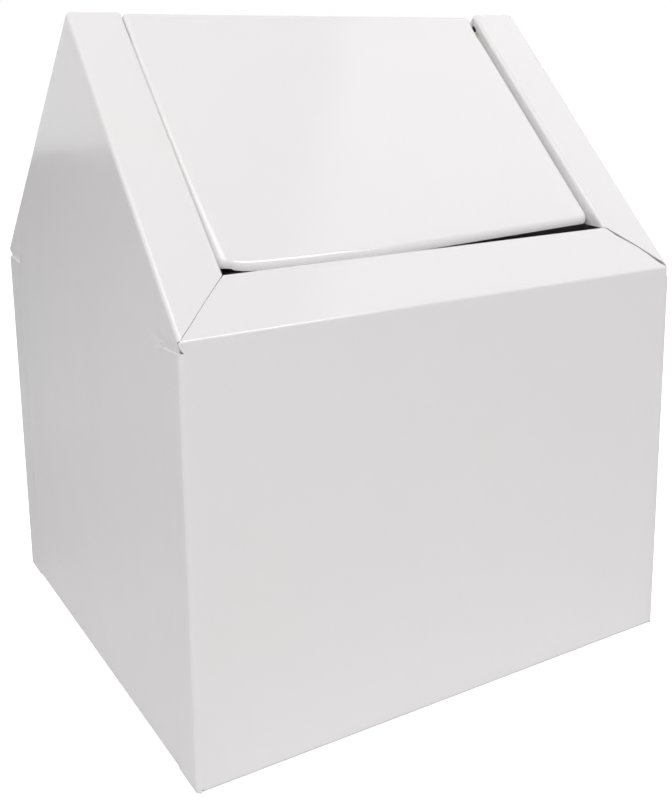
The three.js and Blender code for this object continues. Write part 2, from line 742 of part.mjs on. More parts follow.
const bracket = leftBracket();
addPair(caseGroup, ["left_pivot_bracket", "right_pivot_bracket"], bracket, mirrored(bracket, 0), zinc);
const pin = leftPin();
addPair(caseGroup, ["left_pivot_pin", "right_pivot_pin"], pin, mirrored(pin, 0), steel);
const spacer = leftSpacer();
addPair(caseGroup, ["left_spacer", "right_spacer"], spacer, mirrored(spacer, 0), nylon);
const clip = leftClip();
addPair(caseGroup, ["left_retaining_clip", "right_retaining_clip"], clip, mirrored(clip, 0), steel);

addPiece(lidGroup, "swing_lid", swingLid(), enamel());
const hingePlate = leftHingePlate();
addPair(lidGroup, ["left_hinge_plate", "right_hinge_plate"], hingePlate, lidOpposite(hingePlate), zinc);
const bush = leftBush();
addPair(lidGroup, ["left_bush", "right_bush"], bush, lidOpposite(bush), nylon);

const container = new THREE.Group();
container.add(caseGroup, lidGroup);

export default container;
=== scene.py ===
"""Dresses a free-standing sanitary container in folded, white-enamelled sheet steel.

A square case with a gabled roof carries a lid that swings on two pins under the ridge. All
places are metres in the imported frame: +Z up, the front towards -Y, and the origin on the
floor under the middle of the case.
"""
import logging
import math
from dataclasses import dataclass
from enum import Enum

import bpy
import numpy as np
from mathutils import Matrix, Vector


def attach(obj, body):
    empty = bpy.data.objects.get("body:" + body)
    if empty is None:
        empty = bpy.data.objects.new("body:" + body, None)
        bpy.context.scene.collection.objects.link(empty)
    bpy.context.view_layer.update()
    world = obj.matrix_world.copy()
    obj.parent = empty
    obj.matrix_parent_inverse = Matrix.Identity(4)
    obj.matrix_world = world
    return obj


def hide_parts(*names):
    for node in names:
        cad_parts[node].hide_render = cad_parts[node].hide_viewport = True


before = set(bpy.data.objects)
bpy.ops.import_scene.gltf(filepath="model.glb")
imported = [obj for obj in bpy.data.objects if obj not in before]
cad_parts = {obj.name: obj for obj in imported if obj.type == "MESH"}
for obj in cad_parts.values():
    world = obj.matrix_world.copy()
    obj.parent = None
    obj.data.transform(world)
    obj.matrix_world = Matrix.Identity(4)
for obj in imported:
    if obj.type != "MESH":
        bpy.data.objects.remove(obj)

LOG = logging.getLogger("container")
MERGE_DISTANCE = 1e-6
BEND_STEPS = 12
WHITE = (1, 1, 1, 1)


class Side(Enum):
    """The two ends of the ridge, by the sign of X."""

    LEFT = -1
    RIGHT = 1


class End(Enum):
    """The two entries of the container, by the sign of Y."""

    FRONT = -1
    REAR = 1


def unit(vectors: np.ndarray) -> np.ndarray:
    """Returns each vector over its own length."""
    return vectors / np.linalg.norm(vectors, axis=-1, keepdims=True)


def bent_line(corners: list, radii: list, cells: list, steps: int = BEND_STEPS) -> np.ndarray:
    """Draws a line through corners in a plane, with each inner corner rounded to an arc.

    An arc of radius r that turns the line by an angle a touches both runs at r * tan(a / 2)
    from the corner, and its points are the touching point turned about the arc's centre by
    equal shares of a.

    Args:
        corners: The line's ends and corners, as pairs.
        radii: The radius of each inner corner.
        cells: How many equal cells each straight run has.
        steps: How many cells each arc has.

    Returns:
        The points of the line, one row each.
    """
    knots = np.asarray(corners, float)
    radius = np.asarray(radii, float)
    arrive = unit(knots[1:-1] - knots[:-2])
    leave = unit(knots[2:] - knots[1:-1])
    cross = arrive[:, 0] * leave[:, 1] - arrive[:, 1] * leave[:, 0]
    turn = np.arctan2(cross, (arrive * leave).sum(axis=1))
    reach = (radius * np.tan(np.abs(turn) / 2))[:, None]
    start, end = knots[1:-1] - arrive * reach, knots[1:-1] + leave * reach
    square = np.stack([-arrive[:, 1], arrive[:, 0]], axis=1)
    centre = start + square * (np.sign(turn) * radius)[:, None]
    angle = turn[:, None] * np.linspace(0, 1, steps + 1)
    arm = (start - centre)[:, :, None]
    cos, sin = np.cos(angle), np.sin(angle)
    turned = np.stack([arm[:, 0] * cos - arm[:, 1] * sin, arm[:, 0] * sin + arm[:, 1] * cos], axis=-1)
    arcs = centre[:, None] + turned
    tails, heads = np.vstack([knots[:1], end]), np.vstack([start, knots[-1:]])
    parts = []
    for run, count in enumerate(cells):
        share = (np.arange(count) / count)[:, None]
        parts.append(tails[run] + (heads[run] - tails[run]) * share)
        if run < len(arcs):
            parts.append(arcs[run, :-1])
    return np.vstack([*parts, knots[-1:]])


def stations(stops: list, gap: float) -> np.ndarray:
    """Fills the way between rising stops with equal steps.

    Args:
        stops: Places that have to be among the result.
        gap: The most that two neighbours may be apart.

    Returns:
        The rising places.
    """
    runs = [
        np.linspace(low, high, math.ceil((high - low) / gap - MERGE_DISTANCE) + 1)[:-1]
        for low, high in zip(stops[:-1], stops[1:])
    ]
    return np.concatenate([*runs, stops[-1:]])


def point_grid(x: np.ndarray, y: np.ndarray, z: np.ndarray) -> np.ndarray:
    """Returns the points (x, y, z) of three arrays that are spread to one shape."""
    return np.stack(np.broadcast_arrays(x, y, z), axis=-1)


def ruled(first: np.ndarray, second: np.ndarray, shares: np.ndarray) -> np.ndarray:
    """Fills the space between two edges with straight lines from each point to its partner.

    Args:
        first: The first edge, one point a row.
        second: The second edge, with as many points.
        shares: How far along the lines each new edge lies, from 0 to 1.

    Returns:
        The grid of points, as (shares, points, 3).
    """
    return first + (second - first) * np.asarray(shares)[:, None, None]


def facing(grid: np.ndarray, direction: tuple) -> np.ndarray:
    """Turns a grid over if its faces look away from the direction.

    The summed cross products of its cell edges give the side that it looks to.

    Args:
        grid: Points as (rows, columns, 3).
        direction: Where its faces have to look on the whole.

    Returns:
        The grid, with its rows reversed where that was needed.
    """
    along = np.diff(grid, axis=0)[:, :-1]
    across = np.diff(grid, axis=1)[:-1]
    normal = np.cross(along, across).sum(axis=(0, 1))
    return grid if normal @ np.asarray(direction, float) > 0 else grid[::-1]


def welded(grids: list) -> tuple[np.ndarray, np.ndarray]:
    """Joins grids into one surface: points that share a place become one vertex.

    Args:
        grids: Arrays of points as (rows, columns, 3).

    Returns:
        The vertices, and the faces as rows of four vertex numbers.
    """
    quads, offset = [], 0
    for grid in grids:
        index = offset + np.arange(grid.shape[0] * grid.shape[1]).reshape(grid.shape[:2])
        corners = [index[:-1, :-1], index[1:, :-1], index[1:, 1:], index[:-1, 1:]]
        quads.append(np.stack(corners, axis=-1).reshape(-1, 4))
        offset += index.size
    points = np.concatenate([grid.reshape(-1, 3) for grid in grids])
    keys = np.round(points / MERGE_DISTANCE).astype(np.int64)
    _, first, joined = np.unique(keys, axis=0, return_index=True, return_inverse=True)
    return points[first], joined.reshape(-1)[np.concatenate(quads)]


def new_piece(name: str, points: np.ndarray, faces: np.ndarray) -> bpy.types.Object:
    """Makes a smooth-shaded object at the origin.

    Args:
        name: The name of the object and its mesh.
        points: The vertices.
        faces: Rows of vertex numbers.

    Returns:
        The object, linked to the scene.
    """
    mesh = bpy.data.meshes.new(name)
    mesh.from_pydata(points.tolist(), [], faces.tolist())
    mesh.polygons.foreach_set("use_smooth", np.ones(len(mesh.polygons), bool))
    mesh.update()
    piece = bpy.data.objects.new(name, mesh)
    bpy.context.scene.collection.objects.link(piece)
    return piece


@dataclass(frozen=True)
class SheetSteel:
    """Sheet that a bare surface is thickened to, with its cut edges softened by the enamel."""

    thickness: float = 0.001
    edge_softness: float = 0.0001
    edge_angle: float = math.radians(50)
    edge_segments: int = 3

    def thicken(self, piece: bpy.types.Object, shares: np.ndarray | None = None) -> None:
        """Gives the surface its wall on the inner side, then rounds edges past the edge angle.

        Args:
            piece: The bare surface.
            shares: The share of the thickness at each vertex, if it isn't whole everywhere.
        """
        wall = piece.modifiers.new("wall", "SOLIDIFY")
        wall.thickness = self.thickness
        wall.offset = -1
        wall.use_even_offset = True
        wall.use_quality_normals = True
        if shares is not None:
            group = piece.vertex_groups.new(name="share of the wall")
            rounded = np.round(shares, 3)
            for level in np.unique(rounded):
                group.add(np.flatnonzero(rounded == level).tolist(), float(level), "REPLACE")
            wall.vertex_group = group.name
            wall.thickness_vertex_group = 0.0
        bevel = piece.modifiers.new("enamelled edge", "BEVEL")
        bevel.width = self.edge_softness
        bevel.segments = self.edge_segments
        bevel.limit_method = "ANGLE"
        bevel.angle_limit = self.edge_angle
        bevel.use_clamp_overlap = False
        bevel.harden_normals = True


class Nodes:
    """Short ways to add shader nodes to one material."""

    def __init__(self, name: str) -> None:
        """Starts a material with an output, a principled shader and object coordinates.

        Args:
            name: The material's name.
        """
        self.material = bpy.data.materials.new(name)
        self.material.use_nodes = True
        self.tree = self.material.node_tree
        self.shader = self.tree.nodes["Principled BSDF"]
        self.place = self.tree.nodes.new("ShaderNodeTexCoord").outputs["Object"]

    def link(self, source: bpy.types.NodeSocket, target: bpy.types.NodeSocket) -> None:
        """Connects two sockets."""
        self.tree.links.new(source, target)

    def feed(self, socket: str, source: bpy.types.NodeSocket) -> None:
        """Connects a value to the shader's socket of that name."""
        self.link(source, self.shader.inputs[socket])

    def noise(self, scale: float, detail: float = 2.0, roughness: float = 0.5) -> bpy.types.NodeSocket:
        """Adds noise on object coordinates.

        Args:
            scale: Its features are 1 / scale metres wide.
            detail: How many finer layers it has.
            roughness: How much the finer layers count.

        Returns:
            Its value.
        """
        node = self.tree.nodes.new("ShaderNodeTexNoise")
        node.inputs["Scale"].default_value = scale
        node.inputs["Detail"].default_value = detail
        node.inputs["Roughness"].default_value = roughness
        self.link(self.place, node.inputs["Vector"])
        return node.outputs["Fac"]

    def ranged(self, value: bpy.types.NodeSocket, low: float, high: float,
               start: float = 0.3, end: float = 0.7) -> bpy.types.NodeSocket:
        """Carries a value from one range to another, and holds it at the ends.

        Args:
            value: The value.
            low: What start becomes.
            high: What end becomes.
            start: The lower end of the value's own range.
            end: The upper end of that range.

        Returns:
            The carried value.
        """
        node = self.tree.nodes.new("ShaderNodeMapRange")
        for key, number in {"From Min": start, "From Max": end, "To Min": low, "To Max": high}.items():
            node.inputs[key].default_value = number
        self.link(value, node.inputs["Value"])
        return node.outputs["Result"]

    def mixed(self, share: bpy.types.NodeSocket, first: tuple, second: tuple) -> bpy.types.NodeSocket:
        """Mixes two colours.

        Args:
            share: How much of the second there is, from 0 to 1.
            first: The first colour.
            second: The second colour.

        Returns:
            The mixed colour.
        """
        node = self.tree.nodes.new("ShaderNodeMix")
        node.data_type = "RGBA"
        node.inputs[6].default_value = (*first, 1)
        node.inputs[7].default_value = (*second, 1)
        self.link(share, node.inputs[0])
        return node.outputs[2]

    def bump(self, height: bpy.types.NodeSocket, distance: float, strength: float,
             below: bpy.types.NodeSocket | None = None) -> bpy.types.NodeSocket:
        """Raises the surface in its shading.

        Args:
            height: The height, from 0 to 1.
            distance: The height of 1, in metres.
            strength: How much of it shows.
            below: The normal that it lies on, if that isn't the surface's own.

        Returns:
            The raised normal.
        """
        node = self.tree.nodes.new("ShaderNodeBump")
        node.inputs["Distance"].default_value = distance
        node.inputs["Strength"].default_value = strength
        self.link(height, node.inputs["Height"])
        if below is not None:
            self.link(below, node.inputs["Normal"])
        return node.outputs["Normal"]

    def set(self, **values: float) -> None:
        """Sets the shader's own sockets, named with underscores for spaces."""
        for key, value in values.items():
            self.shader.inputs[key.replace("_", " ")].default_value = value


@dataclass(frozen=True)
class Enamel:
    """Stoved white enamel: orange peel, a faint cloudiness and a slightly uneven gloss."""

    name: str = "white_enamel"
    cool: tuple = (0.852, 0.838, 0.856)
    warm: tuple = (0.868, 0.845, 0.835)
    roughness_low: float = 0.1
    roughness_high: float = 0.17
    cloud_scale: float = 14
    peel_scale: float = 420
    peel_height: float = 0.00003
    peel_strength: float = 0.5
    ripple_scale: float = 22
    ripple_height: float = 0.0006
    ripple_strength: float = 0.35
    refraction: float = 1.5

    def material(self) -> bpy.types.Material:
        """Returns the material."""
        nodes = Nodes(self.name)
        cloud = nodes.ranged(nodes.noise(self.cloud_scale, detail=3), 0, 1, 0, 1)
        nodes.feed("Base Color", nodes.mixed(cloud, self.cool, self.warm))
        gloss = nodes.noise(self.cloud_scale * 2)
        nodes.feed("Roughness", nodes.ranged(gloss, self.roughness_low, self.roughness_high, 0, 1))
        ripple = nodes.noise(self.ripple_scale, detail=1)
        rippled = nodes.bump(ripple, self.ripple_height, self.ripple_strength)
        peel = nodes.noise(self.peel_scale)
        nodes.feed("Normal", nodes.bump(peel, self.peel_height, self.peel_strength, rippled))
        nodes.set(IOR=self.refraction)
        return nodes.material


@dataclass(frozen=True)
class Metal:
    """Bare or plated metal: fine grain in its colour, gloss and surface."""

    name: str
    dark: tuple
    light: tuple
    roughness_low: float
    roughness_high: float
    grain_scale: float
    grain_height: float
    grain_strength: float = 0.6
    grain_roughness: float = 0.6
    blotch_size: float = 5

    def material(self) -> bpy.types.Material:
        """Returns the material; its gloss varies in blotches, blotch_size grains wide."""
        nodes = Nodes(self.name)
        grain = nodes.noise(self.grain_scale, detail=4, roughness=self.grain_roughness)
        nodes.feed("Base Color", nodes.mixed(nodes.ranged(grain, 0, 1), self.dark, self.light))
        blotch = nodes.noise(self.grain_scale / self.blotch_size, detail=2)
        nodes.feed("Roughness", nodes.ranged(blotch, self.roughness_low, self.roughness_high))
        nodes.feed("Normal", nodes.bump(grain, self.grain_height, self.grain_strength))
        nodes.set(Metallic=1.0)
        return nodes.material


@dataclass(frozen=True)
class Nylon:
    """Natural nylon, milky and slightly waxy."""

    name: str = "natural_nylon"
    pale: tuple = (0.78, 0.75, 0.67)
    deep: tuple = (0.7, 0.66, 0.57)
    roughness_low: float = 0.45
    roughness_high: float = 0.6
    mottle_scale: float = 260
    mottle_height: float = 0.00004
    mottle_strength: float = 0.5
    milkiness: float = 0.15
    milk_depth: float = 0.001

    def material(self) -> bpy.types.Material:
        """Returns the material."""
        nodes = Nodes(self.name)
        mottle = nodes.noise(self.mottle_scale, detail=3)
        nodes.feed("Base Color", nodes.mixed(nodes.ranged(mottle, 0, 1), self.deep, self.pale))
        nodes.feed("Roughness", nodes.ranged(mottle, self.roughness_low, self.roughness_high))
        nodes.feed("Normal", nodes.bump(mottle, self.mottle_height, self.mottle_strength))
        nodes.set(Subsurface_Weight=self.milkiness, Subsurface_Scale=self.milk_depth)
        return nodes.material


class Finishes:
    """The object's materials by the record's slots."""

    def __init__(self) -> None:
        """Makes each material once."""
        # Zinc plate, partly its own grey and partly painted shade: darker than real zinc, so the mitre
        # slits over the gussets and the gaps over the pivot brackets read dark.
        zinc = Metal("zinc_plate", dark=(0.3, 0.31, 0.33), light=(0.48, 0.5, 0.52),
                     roughness_low=0.35, roughness_high=0.55, grain_scale=900, grain_height=0.00003)
        steel = Metal("bright_steel", dark=(0.5, 0.51, 0.52), light=(0.64, 0.65, 0.66),
                      roughness_low=0.2, roughness_high=0.34, grain_scale=1600, grain_height=0.00001)
        self.by_slot = {
            "enamel": Enamel().material(),
            "zinc": zinc.material(),
            "pin_steel": steel.material(),
            "nylon": Nylon().material(),
        }

    def dress(self, piece: bpy.types.Object, slot: str) -> None:
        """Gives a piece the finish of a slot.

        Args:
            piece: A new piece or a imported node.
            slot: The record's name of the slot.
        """
        if piece.material_slots:
            for material_slot in piece.material_slots:
                material_slot.material = self.by_slot[slot]
        else:
            piece.data.materials.append(self.by_slot[slot])


def folded_sheet(node: str, surface: tuple, body: str, steel: SheetSteel, finishes: Finishes,
                 shares: np.ndarray | None = None) -> None:
    """Makes an enamelled sheet from its outer surface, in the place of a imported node.

    Args:
        node: The node that it replaces, which also names it.
        surface: Its points and its faces.
        body: The body that it rides on.
        steel: What it is made of.
        finishes: The object's materials.
        shares: The share of the steel's thickness at each point, if it isn't whole everywhere.
    """
    piece = new_piece(f"{node}_sheet", *surface)
    steel.thicken(piece, shares)
    finishes.dress(piece, "enamel")
    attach(piece, body)
    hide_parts(node)
    LOG.info("%s: %d faces", piece.name, len(piece.data.polygons))


@dataclass(frozen=True)
class Roof:
    """The two roof slopes, which meet over the middle of the case."""

    depth: float = 0.222
    eave: float = 0.173
    ridge: float = 0.286

    @property
    def pitch(self) -> float:
        """Angle of the slopes over the horizontal."""
        return math.atan2(self.ridge - self.eave, self.depth / 2)

    @property
    def length(self) -> float:
        """Length of a slope from eave to ridge."""
        return self.depth / 2 / math.cos(self.pitch)

    def line(self, up: np.ndarray, height: np.ndarray) -> np.ndarray:
        """Places points by the front slope.

        From the eave, the point goes up * (cos, sin) of the pitch along the slope and
        height * (-sin, cos) away from it.

        Args:
            up: Distances up the slope.
            height: Heights square to it.

        Returns:
            The points (y, z).
        """
        up, height = np.broadcast_arrays(up, height)
        y = -self.depth / 2 + up * math.cos(self.pitch) - height * math.sin(self.pitch)
        z = self.eave + up * math.sin(self.pitch) + height * math.cos(self.pitch)
        return np.stack([y, z], axis=-1)

    def place(self, x: np.ndarray, up: np.ndarray, height: np.ndarray) -> np.ndarray:
        """Returns (x, y, z) for a place across, up and square to the front slope."""
        x, up, height = np.broadcast_arrays(x, up, height)
        return np.concatenate([x[..., None], self.line(up, height)], axis=-1)

    def up_at(self, y: np.ndarray, height: np.ndarray) -> np.ndarray:
        """Returns the distance up at which the line at that height passes the depth y."""
        return (y + self.depth / 2 + height * math.sin(self.pitch)) / math.cos(self.pitch)

    def up_of(self, y: np.ndarray, z: np.ndarray) -> np.ndarray:
        """Returns the distance up the slope of the point (y, z)."""
        return (y + self.depth / 2) * math.cos(self.pitch) + (z - self.eave) * math.sin(self.pitch)

    def height_of(self, y: np.ndarray, z: np.ndarray) -> np.ndarray:
        """Returns the height of the point (y, z) square to the front slope."""
        return (z - self.eave) * math.cos(self.pitch) - (y + self.depth / 2) * math.sin(self.pitch)


def at_end(grid: np.ndarray, end: End) -> np.ndarray:
    """Returns a grid drawn for the front as it lies at that end of the case."""
    return grid * np.array([1.0, float(-end.value), 1.0])


def at_side(grid: np.ndarray, side: Side) -> np.ndarray:
    """Returns a grid drawn for the left as it lies on that side of the case."""
    return grid * np.array([float(-side.value), 1.0, 1.0])


@dataclass(frozen=True)
class Mitre:
    """The open joint between two roof strips, which is never quite straight.

    Half its width at the share t from eave to opening is
    (half_gap + swell * cos(pi * t) ** 2) * (1 - closing * exp(-((1 - t) / closing_reach) ** 2)),
    and the whole line sways by sway * sin(2 * pi * waves * t + phase).
    """

    half_gap: float
    swell: float = 0.0
    closing: float = 0.0
    closing_reach: float = 0.12
    sway: float = 0.0
    waves: float = 1.0
    phase: float = 0.0

    def edges(self, share: np.ndarray) -> tuple[np.ndarray, np.ndarray]:
        """Draws both edges of the joint.

        Args:
            share: Places on its line, from 0 at the eave to 1 at the opening.

        Returns:
            How far the front strip and the side strip stand back from the true line.
        """
        half = self.half_gap + self.swell * np.cos(math.pi * share) ** 2
        half = half * (1 - self.closing * np.exp(-((1 - share) / self.closing_reach) ** 2))
        shift = self.sway * np.sin(2 * math.pi * self.waves * share + self.phase)
        return half + shift, half - shift


@dataclass(frozen=True)
class CaseShell:
    """The folded panels of the case: front, rear and two gables, each one sheet."""

    roof: Roof = Roof()
    steel: SheetSteel = SheetSteel()
    width: float = 0.235  # over the corner returns
    fold: float = 0.0018  # outside radius of every fold
    seam: float = 0.0003  # between two sheets that lie on each other
    side_strip: float = 0.024  # roof strip at each gable
    eave_strip: float = 0.0254  # roof strip at front and rear, measured up the slope
    safety_return: float = 0.009  # depth of the turned-down edge round the opening
    return_cut: float = 1.1  # mitre at the lower end of the gables' safety returns
    corner_return: float = 0.0178  # length of the returns that wrap over the gables
    return_drop: float = 0.0043  # from the eave down to their top, at the fold
    return_fall: float = 0.0009  # how much lower their top is at the free edge
    return_corner: float = 0.0008  # rounding of their free upper corner
    return_foot: float = 0.0004  # their clearance over the floor
    relief: float = 0.0028  # from their top up to the start of the eave fold
    edge_slit: float = 0.001  # between a gable's upright edge and the panel in front of it
    base_flange: float = 0.014  # turned-in foot of all four walls
    flange_butt: float = 0.001  # between the feet of neighbouring walls
    ridge_slit: float = 0.00045  # between the front and rear half of one gable's strip
    pin_height: float = 0.272
    spacer_clear: float = 0.0059  # radius round the pin that the safety returns leave free
    returns_past_pin: float = 0.0045  # where they stop, up the slope from the pin
    cell: float = 0.004
    strip_cells: int = 6
    return_cells: int = 4
    arch_stations: int = 8
    fit_rounds: int = 4
    over_return_share: float = 0.06  # first row over the corner returns, as a share of the rest
    upper_row_share: float = 0.04  # and the distance of the rows over that one
    oil_can: float = 0.00025  # how far the flats dish in
    dish_waves: tuple = (2.3, 1.7)
    dish_phases: tuple = (1, 2)
    flare_left: tuple = (0.0013, -0.0009)  # how far the face stands out, at the eave and the peak
    flare_right: tuple = (0.0011, 0.0)
    inner_left: tuple = (-0.0016, -0.0018)  # the same for the side of the opening
    inner_right: tuple = (0.0010, -0.0019)
    held_height: float = 0.169  # up to which the corner returns hold the gables
    held_in: float = 0.00027
    held_out: float = 0.00033
    feather: float = 0.75  # share of the wall that is left at the returns' free edge
    feather_reach: float = 0.006
    joggle_start: float = 0.09318  # the joggle's two edges, from the middle
    joggle_end: float = 0.09327
    joggle_spread: float = 3.0
    front_left: Mitre = Mitre(0.0001, sway=0.00008, waves=1.3)
    front_right: Mitre = Mitre(0.00042, swell=0.0005, closing=0.85, sway=0.00034, waves=1.4, phase=0.6)
    rear: Mitre = Mitre(0.0002, swell=0.00008, sway=0.0001, waves=1.1, phase=1.0)

    @property
    def half_depth(self) -> float:
        """Half the depth over the front and rear panels."""
        return self.roof.depth / 2

    @property
    def half_width(self) -> float:
        """Half the width over the corner returns."""
        return self.width / 2

    @property
    def gable_face(self) -> float:
        """Distance of the gables' outer faces from the middle."""
        return self.half_width - self.steel.thickness - self.seam

    @property
    def opening_edge(self) -> float:
        """Distance of the opening's side edges from the middle."""
        return self.half_width - self.side_strip

    @property
    def foot_end(self) -> float:
        """Half the length of the front panel's foot."""
        return self.gable_face - self.steel.thickness - self.seam

    def flare(self, side: Side, z: np.ndarray, y: np.ndarray) -> np.ndarray:
        """Returns how far a gable's face stands out of its own plane.

        Between the corner returns it is joggled out by its first value, flush with them, and
        from the eave it runs straight to its second one at the peak. Behind a return it stands
        out by held_in at its upright edge and by held_out at the return's free edge. Over the
        return's top, which is at held_height and falls by return_fall towards that edge, it
        comes out straight up to the eave, and the joggle starts joggle_spread times the height
        over that top nearer to the middle.

        Args:
            side: The gable's side.
            z: Heights over the floor.
            y: Distances from the middle, front to rear.

        Returns:
            The distance out at each place.
        """
        eave, peak = self.flare_left if side is Side.LEFT else self.flare_right
        front = self.gable_front()
        along = np.clip((front - np.abs(y)) / (front - self.joggle_end), 0, 1)
        behind = self.held_in + (self.held_out - self.held_in) * along
        top = self.held_height - self.return_fall * along
        over = np.clip(z - top, 0, None)
        start = self.joggle_start - self.joggle_spread * over
        held = np.clip((np.abs(y) - start) / (self.joggle_end - start), 0, 1)
        low = np.clip(over / (self.roof.eave - top), 0, 1)
        high = np.clip((z - self.roof.eave) / (self.roof.ridge - self.roof.eave), 0, 1)
        return eave - (eave - behind) * held * (1 - low) + (peak - eave) * high

    def feathered(self, points: np.ndarray) -> np.ndarray:
        """Returns the share of the sheet's thickness at points of a front or rear panel.

        It is 1 but on the flats of the corner returns, where it falls straight from 1 at the
        fold to feather at the free edge, and comes back to 1 within feather_reach of their top.

        Args:
            points: The panel's vertices.

        Returns:
            A share for each.
        """
        on_return = np.abs(points[:, 0]) > self.half_width - MERGE_DISTANCE
        start = self.half_depth - self.fold
        along = np.clip((start - np.abs(points[:, 1])) / (self.corner_return - self.fold), 0, 1)
        top = self.roof.eave - self.return_drop - self.return_fall
        under = np.clip((top - points[:, 2]) / self.feather_reach, 0, 1)
        return np.where(on_return, 1 - (1 - self.feather) * along * under, 1.0)

    def face_at(self, side: Side, up: np.ndarray) -> np.ndarray:
        """Returns how far from the middle the gable's face stands at a place up the slope."""
        y, z = self.roof.line(up, 0)
        return self.gable_face + self.flare(side, z, y)

    def opening_at(self, side: Side, up: np.ndarray) -> np.ndarray:
        """Returns how far from the middle the opening's side edge stands.

        Args:
            side: The side of the opening.
            up: Distances up the slope, between whose ends the edge runs straight.

        Returns:
            The distance at each place.
        """
        eave, peak = self.inner_left if side is Side.LEFT else self.inner_right
        share = np.clip(np.asarray(up, float) / self.roof.length, 0, 1)
        return self.opening_edge + eave + (peak - eave) * share

    def mitre_at(self, end: End, side: Side) -> Mitre:
        """Returns the joint at one corner of the roof frame."""
        front = self.front_left if side is Side.LEFT else self.front_right
        return self.rear if end is End.REAR else front

    def mitre_slant(self) -> float:
        """Returns the sine of the mitre's angle to the eave."""
        return self.eave_strip / math.hypot(self.eave_strip, self.gable_face - self.opening_edge)

    def wall_columns(self) -> np.ndarray:
        """Places across the flat of the front wall, between its two corner folds."""
        reach = self.half_width - self.fold
        return stations([-reach, reach], self.cell)

    def wall_rows(self) -> np.ndarray:
        """Heights over the front wall, from the foot's fold to the top of the returns."""
        return stations([self.fold, self.roof.eave - self.return_drop], self.cell)

    def dished(self, grid: np.ndarray, direction: tuple) -> np.ndarray:
        """Draws a flat field in a little, as thin sheet lies between its folds.

        At the shares u and v across the field, the surface moves against the direction by
        oil_can * sin(pi u) * sin(pi v) * (1 + sin(a pi u + p) * sin(b pi v + q)) / 2, with a
        and b the two dish_waves and p and q the two dish_phases.

        Args:
            grid: The field's points.
            direction: Where its outer side looks.

        Returns:
            The moved points.
        """
        u = np.linspace(0, 1, grid.shape[0])[:, None]
        v = np.linspace(0, 1, grid.shape[1])[None, :]
        (wave_u, wave_v), (phase_u, phase_v) = self.dish_waves, self.dish_phases
        pillow = np.sin(math.pi * u) * np.sin(math.pi * v)
        uneven = np.sin(wave_u * math.pi * u + phase_u) * np.sin(wave_v * math.pi * v + phase_v)
        depth = self.oil_can * pillow * ((1 + uneven) / 2)
        return grid - depth[..., None] * np.asarray(direction, float)

    def eave_panel_grids(self, end: End) -> list:
        """Returns the surfaces of the front or rear panel, outer faces only.

        Args:
            end: Which of the two panels.

        Returns:
            The wall, the foot, the eave strip with its safety return, and both corner returns.
        """
        columns, rows = self.wall_columns(), self.wall_rows()
        wall = self.dished(point_grid(columns[:, None], -self.half_depth, rows), (0, -1, 0))
        grids = [wall, self.foot_grid(columns), self.eave_grid(columns, end)]
        grids += [at_side(self.corner_return_grid(rows), side) for side in Side]
        outward = [(0, -1, 0), (0, -0.2, -1), (0, -1, 1), (-1, -1, 0), (1, -1, 0)]
        return [
            facing(at_end(grid, end), (x, -y * end.value, z))
            for grid, (x, y, z) in zip(grids, outward)
        ]

    def foot_line(self, face: float) -> np.ndarray:
        """Draws the turned-in foot of a wall whose outer face stands that far from the middle."""
        corners = [(-face, 2 * self.fold), (-face, 0), (-face + self.base_flange, 0)]
        return bent_line(corners, [self.fold], [1, 3])[1:]

    def foot_grid(self, columns: np.ndarray) -> np.ndarray:
        """Returns the foot of the front wall, which ends short of the gables' walls.

        Args:
            columns: The wall's places across.

        Returns:
            The grid, from the foot's fold to its free edge.
        """
        line = self.foot_line(self.half_depth)
        shares = (columns - columns[0]) / (columns[-1] - columns[0])
        reach = np.full(len(line), self.foot_end)
        reach[0] = columns[-1]
        first = np.column_stack([-reach, line])
        second = np.column_stack([reach, line])
        return ruled(first, second, shares)

    def eave_grid(self, columns: np.ndarray, end: End) -> np.ndarray:
        """Returns the front wall's top, the eave fold, the strip and its safety return.

        Across the strip the ends follow the mitres: at the share t of the strip's width they
        stand at the gable's face less t times the gable strip's width, less the joint.

        Args:
            columns: The wall's places across.
            end: Which of the two panels.

        Returns:
            The grid, from the top of the wall's flat to the free edge of the return.
        """
        top = self.roof.eave - self.return_drop
        start, eave = (-self.half_depth, top + self.relief), (-self.half_depth, self.roof.eave)
        opening = self.roof.line(self.eave_strip, 0)
        tip = self.roof.line(self.eave_strip, -self.safety_return)
        line = bent_line([start, eave, opening, tip], [self.fold] * 2, [2, self.strip_cells, 3])
        line = np.vstack([[-self.half_depth, top], line])
        share = np.clip(self.roof.up_of(line[:, 0], line[:, 1]) / self.eave_strip, 0, 1)
        edges = []
        for side in Side:
            gap = self.mitre_at(end, side).edges(share)[0] / self.mitre_slant()
            outer = self.face_at(side, 0.0)
            reach = outer - (outer - self.opening_at(side, self.eave_strip)) * share - gap
            reach[0] = columns[-1]
            edges.append(np.column_stack([side.value * reach, line]))
        shares = (columns - columns[0]) / (columns[-1] - columns[0])
        return ruled(edges[0], edges[1], shares)

